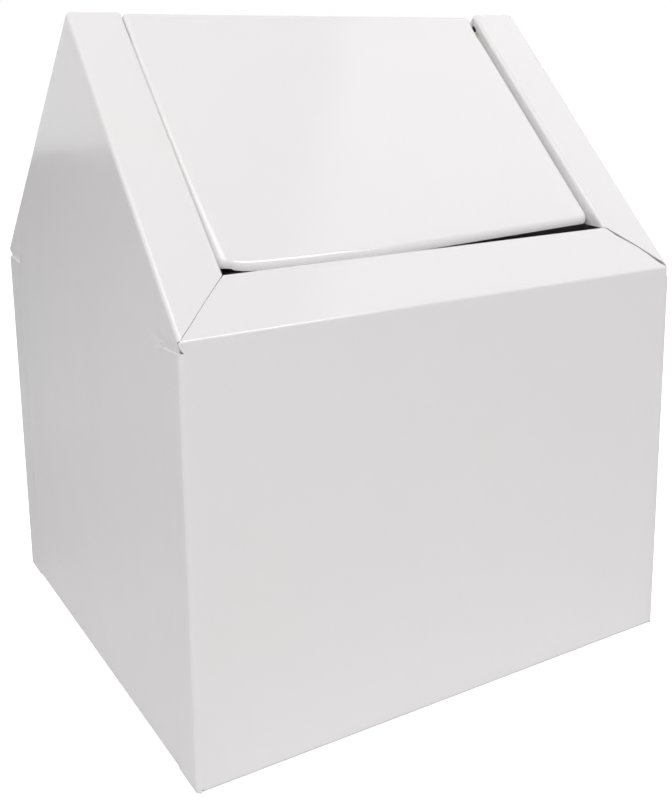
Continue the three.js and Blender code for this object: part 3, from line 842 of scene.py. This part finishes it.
    def corner_return_grid(self, rows: np.ndarray) -> np.ndarray:
        """Returns the left corner fold and the return that wraps over the gable.

        Its top edge falls straight by return_fall from the fold to the free edge, where it is
        rounded by a quarter circle of radius return_corner.

        Args:
            rows: The wall's heights.

        Returns:
            The grid, from the front wall to the free edge.
        """
        square = self.half_width - self.fold
        back = -self.half_depth + self.corner_return
        corners = [(-square + self.fold, -self.half_depth), (-self.half_width, -self.half_depth),
                   (-self.half_width, back - self.return_corner)]
        fold = bent_line(corners, [self.fold], [1, 4])[1:]
        turn = np.linspace(0, math.pi / 2, BEND_STEPS // 2 + 1)[1:]
        rounding = np.column_stack([
            np.full(len(turn), -self.half_width),
            back - self.return_corner * (1 - np.sin(turn)),
        ])
        path = np.vstack([fold, rounding])
        along = (path[:, 1] + self.half_depth - self.fold) / (self.corner_return - self.fold)
        top = rows[-1] - self.return_fall * np.clip(along, 0, 1)
        top[len(fold):] -= self.return_corner * (1 - np.cos(turn))
        heights = np.concatenate([[self.return_foot], rows])
        share = (heights - heights[0]) / (heights[-1] - heights[0])
        first = np.column_stack([path, np.full(len(path), self.return_foot)])
        second = np.column_stack([path, top])
        return ruled(first, second, share)

    def gable_front(self) -> float:
        """Returns the distance of the gable's upright edges from the middle."""
        return self.half_depth - self.steel.thickness - self.edge_slit

    def gable_foot_end(self) -> float:
        """Returns half the length of a gable's foot."""
        return self.half_depth - self.base_flange - self.flange_butt

    def gable_stations(self) -> np.ndarray:
        """Shares from the front edge of a gable to the ridge slit, shared by wall and strip.

        Among them are the end of the foot, both edges of the joggle, the places round the pin
        and the one where the safety return stops.
        """
        front, slit = -self.gable_front(), -self.ridge_slit / 2
        low, high = self.eave_strip, self.roof.up_at(slit, -self.fold)
        marks = np.array([-self.gable_foot_end(), -self.joggle_end, -self.joggle_start])
        marks = (marks - front) / (slit - front)
        arch = np.linspace(-self.spacer_clear, self.returns_past_pin, self.arch_stations)
        around_pin = (self.pin_up() + arch - low) / (high - low)
        return stations([0.0, *marks, *around_pin, 1.0], self.cell / self.half_depth)

    def pin_up(self) -> float:
        """Returns how far up the slope the pin stands."""
        return self.roof.up_of(0.0, self.pin_height)

    def round_spacer(self, up: np.ndarray, height: np.ndarray) -> np.ndarray:
        """Returns the heights of a strip's points, with its safety return cut out for the spacer.

        At the distance u up from the pin, which lies p under the roof, the free edge may
        reach p - sqrt(c ** 2 - u ** 2) down, with c the clearance round the pin's axis. The
        cells of the return under its first one shrink in proportion.

        Args:
            up: How far up the slope each point lies.
            height: The height of each point of the strip's section, square to the slope.

        Returns:
            The height of each point once the cut is made.
        """
        pin = -self.roof.height_of(0.0, self.pin_height)
        away = up - self.pin_up()
        arch = pin - np.sqrt(np.clip(self.spacer_clear ** 2 - away ** 2, 0, None))
        first = self.fold + (self.safety_return - self.fold) / self.return_cells
        share = np.clip((-height - first) / (self.safety_return - first), 0, 1)
        reach = np.minimum(arch, self.safety_return) - first
        return np.where(share > 0, -(first + share * reach), height)

    def gable_grids(self, side: Side) -> list:
        """Returns the surfaces of one gable panel, outer faces only.

        Args:
            side: Which of the two panels.

        Returns:
            The wall, its foot, and the two roof strips with their safety returns.
        """
        front, slit = -self.gable_front(), -self.ridge_slit / 2
        shares = self.gable_stations()
        half = front + (slit - front) * shares
        columns = np.concatenate([half, -half[::-1]])
        tops = self.roof.line(self.roof.up_at(-np.abs(columns), -self.fold), -self.fold)[:, 1]
        face = np.full(len(columns), -self.gable_face)
        bottom = np.column_stack([face, columns, np.full(len(columns), self.fold)])
        top = np.column_stack([face, columns, tops])
        held = np.column_stack([face, columns, np.full(len(columns), self.held_height)])
        marks = [0, 1 - self.return_fall / self.held_height, 1]
        lower = ruled(bottom, held, stations(marks, self.cell / self.held_height))
        upper = ruled(held, top, stations([0, self.over_return_share, 1], self.upper_row_share))
        wall = self.dished(np.concatenate([lower, upper[1:]]), (-1, 0, 0))
        grids = [(self.bent_out(wall, side), (-1, 0, 0))]

        end_of_foot = self.gable_foot_end()
        on_foot = np.abs(columns) <= end_of_foot + MERGE_DISTANCE
        line = self.foot_line(self.gable_face)
        foot = point_grid(line[:, :1], columns[on_foot], line[:, 1:])
        grids.append((self.bent_out(foot, side), (-0.2, 0, -1)))
        for beside in (columns <= -end_of_foot + MERGE_DISTANCE, columns >= end_of_foot - MERGE_DISTANCE):
            ground = bottom[beside] * np.array([1.0, 1.0, 0.0])
            skirt = ruled(ground, bottom[beside], np.array([0, 1]))
            grids.append((self.bent_out(skirt, side), (-1, 0, 0)))
        for end in End:
            grids += [(at_end(grid, end), (x, -y * end.value, z))
                      for grid, (x, y, z) in self.strip_grids(shares, side, end)]
        return [
            facing(at_side(grid, side), (-x * side.value, y, z))
            for grid, (x, y, z) in grids
        ]

    def bent_out(self, grid: np.ndarray, side: Side) -> np.ndarray:
        """Moves a left gable's points by what its face and its opening edge are out of true.

        The move is the flare at the face and the opening's own at the opening edge, and
        changes in proportion to the distance between them.

        Args:
            grid: Points of a true left gable.
            side: The gable's side.

        Returns:
            The moved points.
        """
        y, z = -np.abs(grid[..., 1]), grid[..., 2]
        up = self.roof.up_of(y, z)
        share = np.clip((grid[..., 0] + self.gable_face) / (self.gable_face - self.opening_edge), 0, 1)
        at_opening = self.opening_at(side, up) - self.opening_edge
        move = self.flare(side, z, y) * (1 - share) + at_opening * share
        return grid - move[..., None] * np.array([1.0, 0.0, 0.0])

    def strip_grids(self, shares: np.ndarray, side: Side, end: End) -> list:
        """Returns the front half of a gable's roof strip, and its safety return.

        The lower end of the return is cut back by return_cut times the depth under its fold.
        The depth that the spacer leaves moves the strip's end at the ridge slit, so both are
        worked out in turn, fit_rounds times.

        Args:
            shares: Places from the strip's lower end to the ridge.
            side: The gable's side, which sets its mitre and its opening edge.
            end: The slope's end, which sets its mitre.

        Returns:
            The grids, each with the direction that it faces.
        """
        corners = [(-self.gable_face, -2 * self.fold), (-self.gable_face, 0), (-self.opening_edge, 0),
                   (-self.opening_edge, -self.safety_return)]
        line = bent_line(corners, [self.fold] * 2, [1, self.strip_cells, self.return_cells])[1:]
        across, height = line[:, 0], line[:, 1]
        from_face = (across + self.gable_face) / (self.gable_face - self.opening_edge)
        gap = self.mitre_at(end, side).edges(np.clip(from_face, 0, 1))[1] / self.mitre_slant()
        mitre = self.eave_strip * from_face + gap
        corner = self.roof.up_at(-self.gable_front(), -self.fold)
        along_fold = np.clip((across + self.gable_face) / self.fold, 0, 1)
        low = corner * (1 - along_fold) + mitre * along_fold
        on_return = from_face > 0.5
        low = low + self.return_cut * np.clip(-height - self.fold, 0, None) * on_return
        cut = height
        for _ in range(self.fit_rounds):
            up = low + (self.roof.up_at(-self.ridge_slit / 2, cut) - low) * shares[:, None]
            cut = self.round_spacer(up, height)
        strip = self.bent_out(self.roof.place(across, up, cut), side)
        bend_end = int(np.argmax(height[BEND_STEPS:] < -self.fold + MERGE_DISTANCE)) + BEND_STEPS
        last = int(np.argmin(np.abs(up[:, bend_end] - self.pin_up() - self.returns_past_pin)))
        flat = strip[:, :bend_end + 2]
        fin = strip[:last + 1, bend_end + 1:]
        return [(flat, (-0.3, -1, 1)), (fin, (1, 0, 0))]

    def build(self, finishes: Finishes) -> None:
        """Makes the four panels and dresses them."""
        for end in End:
            points, faces = welded(self.eave_panel_grids(end))
            folded_sheet(f"{end.name.lower()}_panel", (points, faces), "case", self.steel, finishes,
                         self.feathered(points))
        for side in Side:
            folded_sheet(f"{side.name.lower()}_gable_panel", welded(self.gable_grids(side)), "case",
                         self.steel, finishes)


@dataclass(frozen=True)
class BasePan:
    """The shallow tray that stands on the feet of the walls."""

    case: CaseShell
    wall: float = 0.012  # height of its upturned edge
    relief: float = 0.001  # open notch at each corner, past the fold
    cell: float = 0.008

    def build(self, finishes: Finishes) -> None:
        """Makes the pan and dresses it."""
        case = self.case
        sheet, fold = case.steel.thickness, case.fold
        bottom = sheet + case.seam
        half_x = case.gable_face - sheet - case.seam
        half_y = case.half_depth - sheet - case.seam
        notch = fold + self.relief
        across = stations([-half_x + fold, -half_x + notch, half_x - notch, half_x - fold], self.cell)
        along = stations([-half_y + fold, -half_y + notch, half_y - notch, half_y - fold], self.cell)
        grids = [facing(point_grid(across[:, None], along, bottom), (0, 0, -1))]
        for axis, half, places in ((0, half_x, along), (1, half_y, across)):
            corners = [(half - 2 * fold, bottom), (half, bottom), (half, bottom + self.wall)]
            line = bent_line(corners, [fold], [1, 2])[1:]
            for sign in (-1, 1):
                rim, out = [sign * line[:, :1], places[1:-1]], [sign, 0]
                if axis == 1:
                    rim, out = rim[::-1], out[::-1]
                grids.append(facing(point_grid(*rim, line[:, 1:]), (*out, -0.3)))
        folded_sheet("base_pan", welded(grids), "case", case.steel, finishes)


@dataclass(frozen=True)
class LidEnd:
    """One end of the lid: where it stands, how it is rounded, and how it is out of true."""

    x: float  # the end's place along the ridge
    roll: float  # radius of its rounding at the ridge
    corner: float  # radius of its lower corners, seen square on
    bow: float  # how far its side bulges half-way down the slope
    spread: float  # how far its side stands out at the lower edge
    sag: float  # how far it lies lower than true
    sag_low: float = 0.0  # how much lower its lower corner does
    raise_corner: float = 0.0  # how far that corner is drawn up the slope
    grow: float = 0.0  # how much wider than roll the rounding is at the lower edge


@dataclass(frozen=True)
class SwingLid:
    """The lid: one sheet folded to an inverted V, with edges turned down all round."""

    case: CaseShell
    left: LidEnd = LidEnd(x=-0.0912, roll=0.0018, corner=0.0035, bow=0.0004, spread=-0.0003,
                          sag=-0.0002, sag_low=0.0002, raise_corner=0.0028, grow=0.0034)
    right: LidEnd = LidEnd(x=0.0878, roll=0.0016, corner=0.004, bow=0.0008, spread=0.0048,
                           sag=0.0012)
    eave_gap: float = 0.0006  # from the eave strip up to the lower edge
    edge: float = 0.005  # radius of the turned-down lower edge
    edge_steps: int = 10  # cells in a full quarter turn of it
    edge_cut: int = 4  # cells that it lacks of that
    ridge: float = 0.0016  # radius of the ridge
    softness: float = 0.0005  # least radius where roundings meet
    flange: float = 0.012  # depth of the end flanges
    flange_low: float = 0.0038  # their depth at the lower corners
    flange_blend: float = 0.03  # way up the slope on which they get their depth
    flange_cells: int = 3
    notch: float = 0.0058  # radius round the bush, in each end flange
    notch_lip: float = 0.999  # share of that radius at which the notch's sides stand
    beyond_roll: float = 1.1  # the least that a corner reaches, as a multiple of the roll
    roll_cells: int = 4  # cells on the way of one roll, past the rounding
    slope_cells: int = 30
    cell: float = 0.0045
    oil_can: float = 0.00018  # how far the flats dish in
    dish_wave: float = 3
    lift: float = 0.0048  # how far the lower edge's right end is lifted
    lift_from: float = 0.413  # share along the ridge at which the lift starts
    lift_power: int = 4  # how fast the lift and the lower corners' moves fade up the slope
    droop: float = 0.0024  # how far the slopes lie lower at the edge than at the ridge
    droop_power: float = 0.6
    grow_power: int = 3
    grow_fade: float = 0.012  # way beside the rounding on which the flat gives way to it
    corner_reach: float = 0.008  # way from an end on which its corner's raising fades
    pin_clear: float = 0.0068  # radius round the pin in which the ends stay true
    pin_blend: float = 0.0045  # further way on which they start to bend
    ridge_blend: float = 0.01  # way from the ridge on which the moves down the slope start

    def section(self, sink: float, foot: float, edge: float, ridge: float) -> np.ndarray:
        """Draws the lid's section across the ridge at one place along it.

        The turned-down edge is a quarter turn that lacks its last edge_cut steps.

        Args:
            sink: How far the slopes lie under the roof's planes.
            foot: How far up the slopes the edge is drawn in.
            edge: The radius of the turned-down edge.
            ridge: The radius of the ridge.

        Returns:
            Points (y, z) from the front edge over the ridge to the rear edge.
        """
        roof = self.case.roof
        low = self.case.eave_strip + self.eave_gap + foot
        tip, brow = roof.line(low, -sink - edge), roof.line(low, -sink)
        crest = roof.line(roof.up_at(0.0, -sink), -sink)
        flip = np.array([-1.0, 1.0])
        line = bent_line(
            [tip, brow, crest, brow * flip, tip * flip], [edge, ridge, edge],
            [1, self.slope_cells, self.slope_cells, 1], self.edge_steps,
        )
        return line[1 + self.edge_cut:-1 - self.edge_cut]

    def end_sections(self, end: LidEnd) -> tuple[np.ndarray, np.ndarray]:
        """Draws the sections that round one end of the lid down to its end flange.

        At the angle a of a quarter turn, the section lies roll * (1 - cos a) from the end and
        roll * (1 - sin a) under the roof, and its lower edge is drawn in by what a circle of
        the corner's radius leaves there.

        Args:
            end: The end to round.

        Returns:
            The distances from the end, and a section for each.
        """
        angles = np.linspace(0, math.pi / 2, self.edge_steps + 1)
        reach = max(end.corner, end.roll * self.beyond_roll)
        beyond = stations([end.roll, reach], end.roll / self.roll_cells)[1:]
        distance = np.concatenate([end.roll * (1 - np.cos(angles)), beyond])
        sink = np.concatenate([end.roll * (1 - np.sin(angles)), np.zeros(len(beyond))])
        short = np.clip(end.corner - distance, 0, None)
        foot = end.corner - np.sqrt(end.corner ** 2 - short ** 2)
        sections = [
            self.section(down, inward, max(self.edge - down, self.softness),
                         self.ridge * (1 - down / end.roll) + self.softness)
            for down, inward in zip(sink, foot)
        ]
        return distance, np.stack(sections)

    def skin(self) -> np.ndarray:
        """Returns the grid over both slopes, its rows standing along the ridge."""
        near, left_sections = self.end_sections(self.left)
        far, right_sections = self.end_sections(self.right)
        start, stop = self.left.x + near[-1], self.right.x - far[-1]
        middle = stations([start, stop], self.cell)[1:-1]
        places = np.concatenate([self.left.x + near, middle, (self.right.x - far)[::-1]])
        between = np.broadcast_to(left_sections[-1], (len(middle), *left_sections[-1].shape))
        outline = np.concatenate([left_sections, between, right_sections[::-1]])
        across = np.broadcast_to(places[:, None, None], (*outline.shape[:2], 1))
        return np.concatenate([across, outline], axis=-1)

    def end_flange(self, row: np.ndarray) -> np.ndarray:
        """Returns the turned-down end under one of the skin's end rows.

        Each point of the row goes straight down to a point of the flange's lower edge. That
        drops from flange_low to the flange's depth within flange_blend along the square of
        the share, runs on along both slopes, and goes round the notch for the bush.

        Args:
            row: The skin's row, from the front edge over the ridge to the rear edge.

        Returns:
            The grid, from that row to the flange's free edge.
        """
        roof = self.case.roof
        steps = np.linalg.norm(np.diff(row, axis=0), axis=1)
        walked = np.concatenate([[0], np.cumsum(steps)]) / steps.sum()
        share = 1 - np.abs(2 * walked - 1)
        low = roof.up_of(row[0, 1], row[0, 2])
        blend = np.clip(share * (roof.length - low) / self.flange_blend, 0, 1)
        depth = self.flange_low + (self.flange - self.flange_low) * blend ** 2
        crest = roof.up_at(0.0, -depth)
        edge = roof.line(low + (crest - low) * share, -depth)
        y, z = edge[:, 0] * np.where(walked > 0.5, -1, 1), edge[:, 1]
        outside = np.abs(y) >= self.notch
        beside = ~outside & (np.roll(outside, 1) | np.roll(outside, -1))
        y = np.where(beside, np.sign(y) * self.notch * self.notch_lip, y)
        arch = self.case.pin_height + np.sqrt(np.clip(self.notch ** 2 - y ** 2, 0, None))
        lower = np.column_stack([row[:, 0], y, np.where(outside, z, arch)])
        return ruled(row, lower, np.linspace(0, 1, self.flange_cells + 1))

    def dished(self, skin: np.ndarray) -> np.ndarray:
        """Lets the flats of both slopes sink a little between their folds.

        The drop is oil_can * sin(pi u) * sin(2 pi v) ** 2 * (1 + sin(w pi u + v)) / 2 at the
        shares u along the ridge and v across both slopes, with w the dish_wave.

        Args:
            skin: The grid over both slopes.

        Returns:
            The moved points.
        """
        u = np.linspace(0, 1, skin.shape[0])[:, None]
        v = np.linspace(0, 1, skin.shape[1])[None, :]
        pillow = np.sin(math.pi * u) * np.sin(2 * math.pi * v) ** 2
        drop = pillow * (1 + np.sin(self.dish_wave * math.pi * u + v)) / 2
        return skin - (self.oil_can * drop)[..., None] * np.array([0.0, 0.0, 1.0])

    def settled(self, points: np.ndarray) -> np.ndarray:
        """Moves the lid's true shape to the way that a handled one hangs.

        At the share s along the ridge and the share t down either slope, the point sinks by
        its end's sag + sag_low * t ** lift_power and by droop * t ** droop_power, square to
        the slope. Its side moves out by bow * sin(pi * t ** droop_power) + spread * t, in
        proportion to its distance from the middle, but not within pin_clear of the pin. The
        lower edge rises by lift over the last part of the ridge, and by raise_corner *
        exp(-d / corner_reach) at the distance d from an end, both times t ** lift_power. The
        rounding of an end, whose point at the angle a is roll * (1 - cos a) from it, gets the
        radius roll + grow * t ** grow_power, and the flat beside it gives way.

        Args:
            points: The true lid's vertices.

        Returns:
            The moved vertices.
        """
        roof = self.case.roof
        x, y, z = points.T
        s = (x - self.left.x) / (self.right.x - self.left.x)
        low = self.case.eave_strip + self.eave_gap
        up = roof.up_of(-np.abs(y), z)
        t = np.clip((roof.length - up) / (roof.length - low), 0, 1)
        edge, slack = t ** self.lift_power, t ** self.droop_power
        pin = np.hypot(y, z - self.case.pin_height)
        free = np.clip((pin - self.pin_clear) / self.pin_blend, 0, 1)
        rise = self.lift * np.clip((s - self.lift_from) / (1 - self.lift_from), 0, 1)
        sideways, sunk = np.zeros(len(x)), np.zeros(len(x))
        for end, nearness in ((self.left, 1 - 2 * s), (self.right, 2 * s - 1)):
            away = np.abs(x - end.x)
            out = end.bow * np.sin(math.pi * slack) + end.spread * t
            cosine, grown = 1 - np.clip(away / end.roll, 0, 1), end.grow * t ** self.grow_power
            give = grown * (1 - cosine) * np.clip(1 - (away - end.roll) / self.grow_fade, 0, 1)
            moved = out * free * np.clip(nearness, 0, 1) - give
            sideways += moved * math.copysign(1, end.x)
            sunk += grown * (1 - np.sqrt(1 - cosine ** 2))
            rise += end.raise_corner * np.exp(-away / self.corner_reach)
        left_fall, right_fall = (end.sag + end.sag_low * edge for end in (self.left, self.right))
        fall = left_fall + (right_fall - left_fall) * s + self.droop * slack + sunk
        rise = rise * edge
        along = rise * math.cos(roof.pitch) + fall * math.sin(roof.pitch)
        down = fall * math.cos(roof.pitch) - rise * math.sin(roof.pitch)
        inward = np.clip(np.abs(y) / self.ridge_blend, 0, 1) * np.sign(y)
        return np.column_stack([x + sideways, y - along * inward, z - down])

    def build(self, finishes: Finishes) -> None:
        """Makes the lid and dresses it."""
        skin = self.skin()
        ends = [self.end_flange(skin[0]), self.end_flange(skin[-1])]
        grids = [
            facing(self.dished(skin), (0, 0, 1)),
            facing(ends[0], (-1, 0, 0)),
            facing(ends[1], (1, 0, 0)),
        ]
        points, faces = welded(grids)
        folded_sheet("swing_lid", (self.settled(points), faces), "lid", self.case.steel, finishes)


@dataclass(frozen=True)
class HiddenParts:
    """Packed plates, pins, clips and nylon parts, which keep their shape and get a finish."""

    corner_plate: str = "gusset"
    corner_slot: str = "zinc"
    pivot_slots: tuple = (
        ("pivot_bracket", "zinc"), ("hinge_plate", "zinc"), ("pivot_pin", "pin_steel"),
        ("retaining_clip", "pin_steel"), ("spacer", "nylon"), ("bush", "nylon"),
    )

    def slots(self) -> dict:
        """Returns the record's slot of each node, one gusset a mitre and one pivot set a side."""
        sides = [side.name.lower() for side in Side]
        corners = [f"{end.name.lower()}_{side}" for end in End for side in sides]
        gussets = {f"{corner}_{self.corner_plate}": self.corner_slot for corner in corners}
        return gussets | {f"{side}_{kind}": slot for kind, slot in self.pivot_slots for side in sides}

    def build(self, finishes: Finishes) -> None:
        """Dresses each node."""
        for name, slot in self.slots().items():
            finishes.dress(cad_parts[name], slot)
            LOG.info("%s: packed node in %s", name, slot)


@dataclass(frozen=True)
class SoftBox:
    """A rectangular soft light."""

    name: str
    place: tuple
    size: tuple
    watts: float
    aim: tuple = (0, 0, 0.15)  # the middle of the container
    mirrored: bool = True  # whether glossy surfaces show it

    def hang(self) -> None:
        """Adds the lamp at its place, turned towards its aim."""
        data = bpy.data.lights.new(self.name, "AREA")
        data.shape = "RECTANGLE"
        data.size, data.size_y = self.size
        data.energy = self.watts
        lamp = bpy.data.objects.new(self.name, data)
        back = Vector(self.place) - Vector(self.aim)
        turn = back.to_track_quat("Z", "Y").to_matrix().to_4x4()
        lamp.matrix_world = Matrix.Translation(self.place) @ turn
        lamp.visible_camera = False
        lamp.visible_glossy = self.mirrored
        bpy.context.scene.collection.objects.link(lamp)


@dataclass(frozen=True)
class Studio:
    """Camera, floor and lights, with the glow of the white floor round the feet."""

    eye: tuple = (-0.25236, -0.44377, 0.26917)
    heading: float = math.radians(30.625)
    down: float = math.radians(11.504)
    roll: float = math.radians(-0.708)
    focal_pixels: float = 1087.2
    frame_height: int = 800  # the photograph's, in pixels
    axis_row: float = 271.8  # the pixel row that the lens axis meets
    sensor: float = 36.0
    clip_start: float = 0.01
    floor_size: float = 6.0
    floor_drop: float = 0.0003  # the floor's distance under the feet
    floor_grey: float = 0.8
    floor_roughness: float = 0.9
    floor_lift: float = 0.82  # glow that the camera alone sees on the floor
    ambient: float = 0.216
    soft_boxes: tuple = (
        SoftBox("key_left", (-0.72, -0.8, 1.45), (0.95, 1.05), 11.7),
        SoftBox("side_left", (-1.05, -0.2, 1.2), (0.8, 0.8), 3.1),
        SoftBox("front_right", (0.6, -1.04, 1.34), (0.5, 0.3), 5.6),
        SoftBox("side_right", (1.1, -0.25, 1.25), (0.9, 0.9), 2.65),
        SoftBox("floor_glow", (0, 0, 0.0004), (0.8, 0.8), 0.39, aim=(0, 0, 1), mirrored=False),
    )

    def camera(self) -> None:
        """Sets the camera where the photograph was taken from."""
        data = bpy.data.cameras.new("camera")
        data.sensor_width = self.sensor
        data.lens = self.focal_pixels / self.frame_height * self.sensor
        data.shift_y = (self.axis_row - self.frame_height / 2) / self.frame_height
        data.clip_start = self.clip_start
        camera = bpy.data.objects.new("camera", data)
        aim = (Matrix.Rotation(-self.heading, 4, "Z") @ Matrix.Rotation(math.pi / 2 - self.down, 4, "X")
               @ Matrix.Rotation(self.roll, 4, "Z"))
        camera.matrix_world = Matrix.Translation(self.eye) @ aim
        bpy.context.scene.collection.objects.link(camera)
        bpy.context.scene.camera = camera

    def world(self) -> None:
        """Fills the room with pale light, and shows white to camera, glossy and glass rays."""
        world = bpy.data.worlds.new("studio")
        world.use_nodes = True
        tree = world.node_tree
        ambient, white = tree.nodes["Background"], tree.nodes.new("ShaderNodeBackground")
        for shade, strength in ((ambient, self.ambient), (white, 1)):
            shade.inputs["Color"].default_value = WHITE
            shade.inputs["Strength"].default_value = strength
        path = tree.nodes.new("ShaderNodeLightPath")
        seen = path.outputs["Is Camera Ray"]
        for ray in ("Is Glossy Ray", "Is Transmission Ray"):
            either = tree.nodes.new("ShaderNodeMath")
            either.operation = "MAXIMUM"
            tree.links.new(seen, either.inputs[0])
            tree.links.new(path.outputs[ray], either.inputs[1])
            seen = either.outputs[0]
        mix = tree.nodes.new("ShaderNodeMixShader")
        for socket, source in zip(mix.inputs, (seen, ambient.outputs[0], white.outputs[0])):
            tree.links.new(source, socket)
        tree.links.new(mix.outputs[0], tree.nodes["World Output"].inputs["Surface"])
        bpy.context.scene.world = world

    def floor(self) -> None:
        """Lays a plain white floor that keeps the container's shadow."""
        half, z = self.floor_size / 2, -self.floor_drop
        corners = np.array([(-half, -half, z), (half, -half, z), (half, half, z), (-half, half, z)])
        floor = new_piece("floor", corners, np.array([[0, 1, 2, 3]]))
        nodes = Nodes("floor_paper")
        nodes.set(Roughness=self.floor_roughness)
        nodes.shader.inputs["Base Color"].default_value = (*[self.floor_grey] * 3, 1)
        glow = nodes.tree.nodes.new("ShaderNodeEmission")
        glow.inputs["Color"].default_value = WHITE
        path = nodes.tree.nodes.new("ShaderNodeLightPath")
        lift = nodes.tree.nodes.new("ShaderNodeMath")
        lift.operation = "MULTIPLY"
        lift.inputs[1].default_value = self.floor_lift
        nodes.link(path.outputs["Is Camera Ray"], lift.inputs[0])
        nodes.link(lift.outputs[0], glow.inputs["Strength"])
        add = nodes.tree.nodes.new("ShaderNodeAddShader")
        nodes.link(nodes.shader.outputs[0], add.inputs[0])
        nodes.link(glow.outputs[0], add.inputs[1])
        nodes.link(add.outputs[0], nodes.tree.nodes["Material Output"].inputs["Surface"])
        floor.data.materials.append(nodes.material)

    def build(self) -> None:
        """Sets up the whole studio."""
        self.camera()
        self.floor()
        self.world()
        for box in self.soft_boxes:
            box.hang()
        bpy.context.scene.view_settings.view_transform = "Standard"
        LOG.info("studio: camera, floor, world and lights")


def main() -> None:
    """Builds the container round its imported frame."""
    logging.basicConfig(level=logging.INFO, format="%(name)s %(message)s")
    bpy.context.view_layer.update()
    Studio().build()
    finishes = Finishes()
    case = CaseShell()
    case.build(finishes)
    BasePan(case).build(finishes)
    SwingLid(case).build(finishes)
    HiddenParts().build(finishes)


if __name__ == "__main__":
    main()
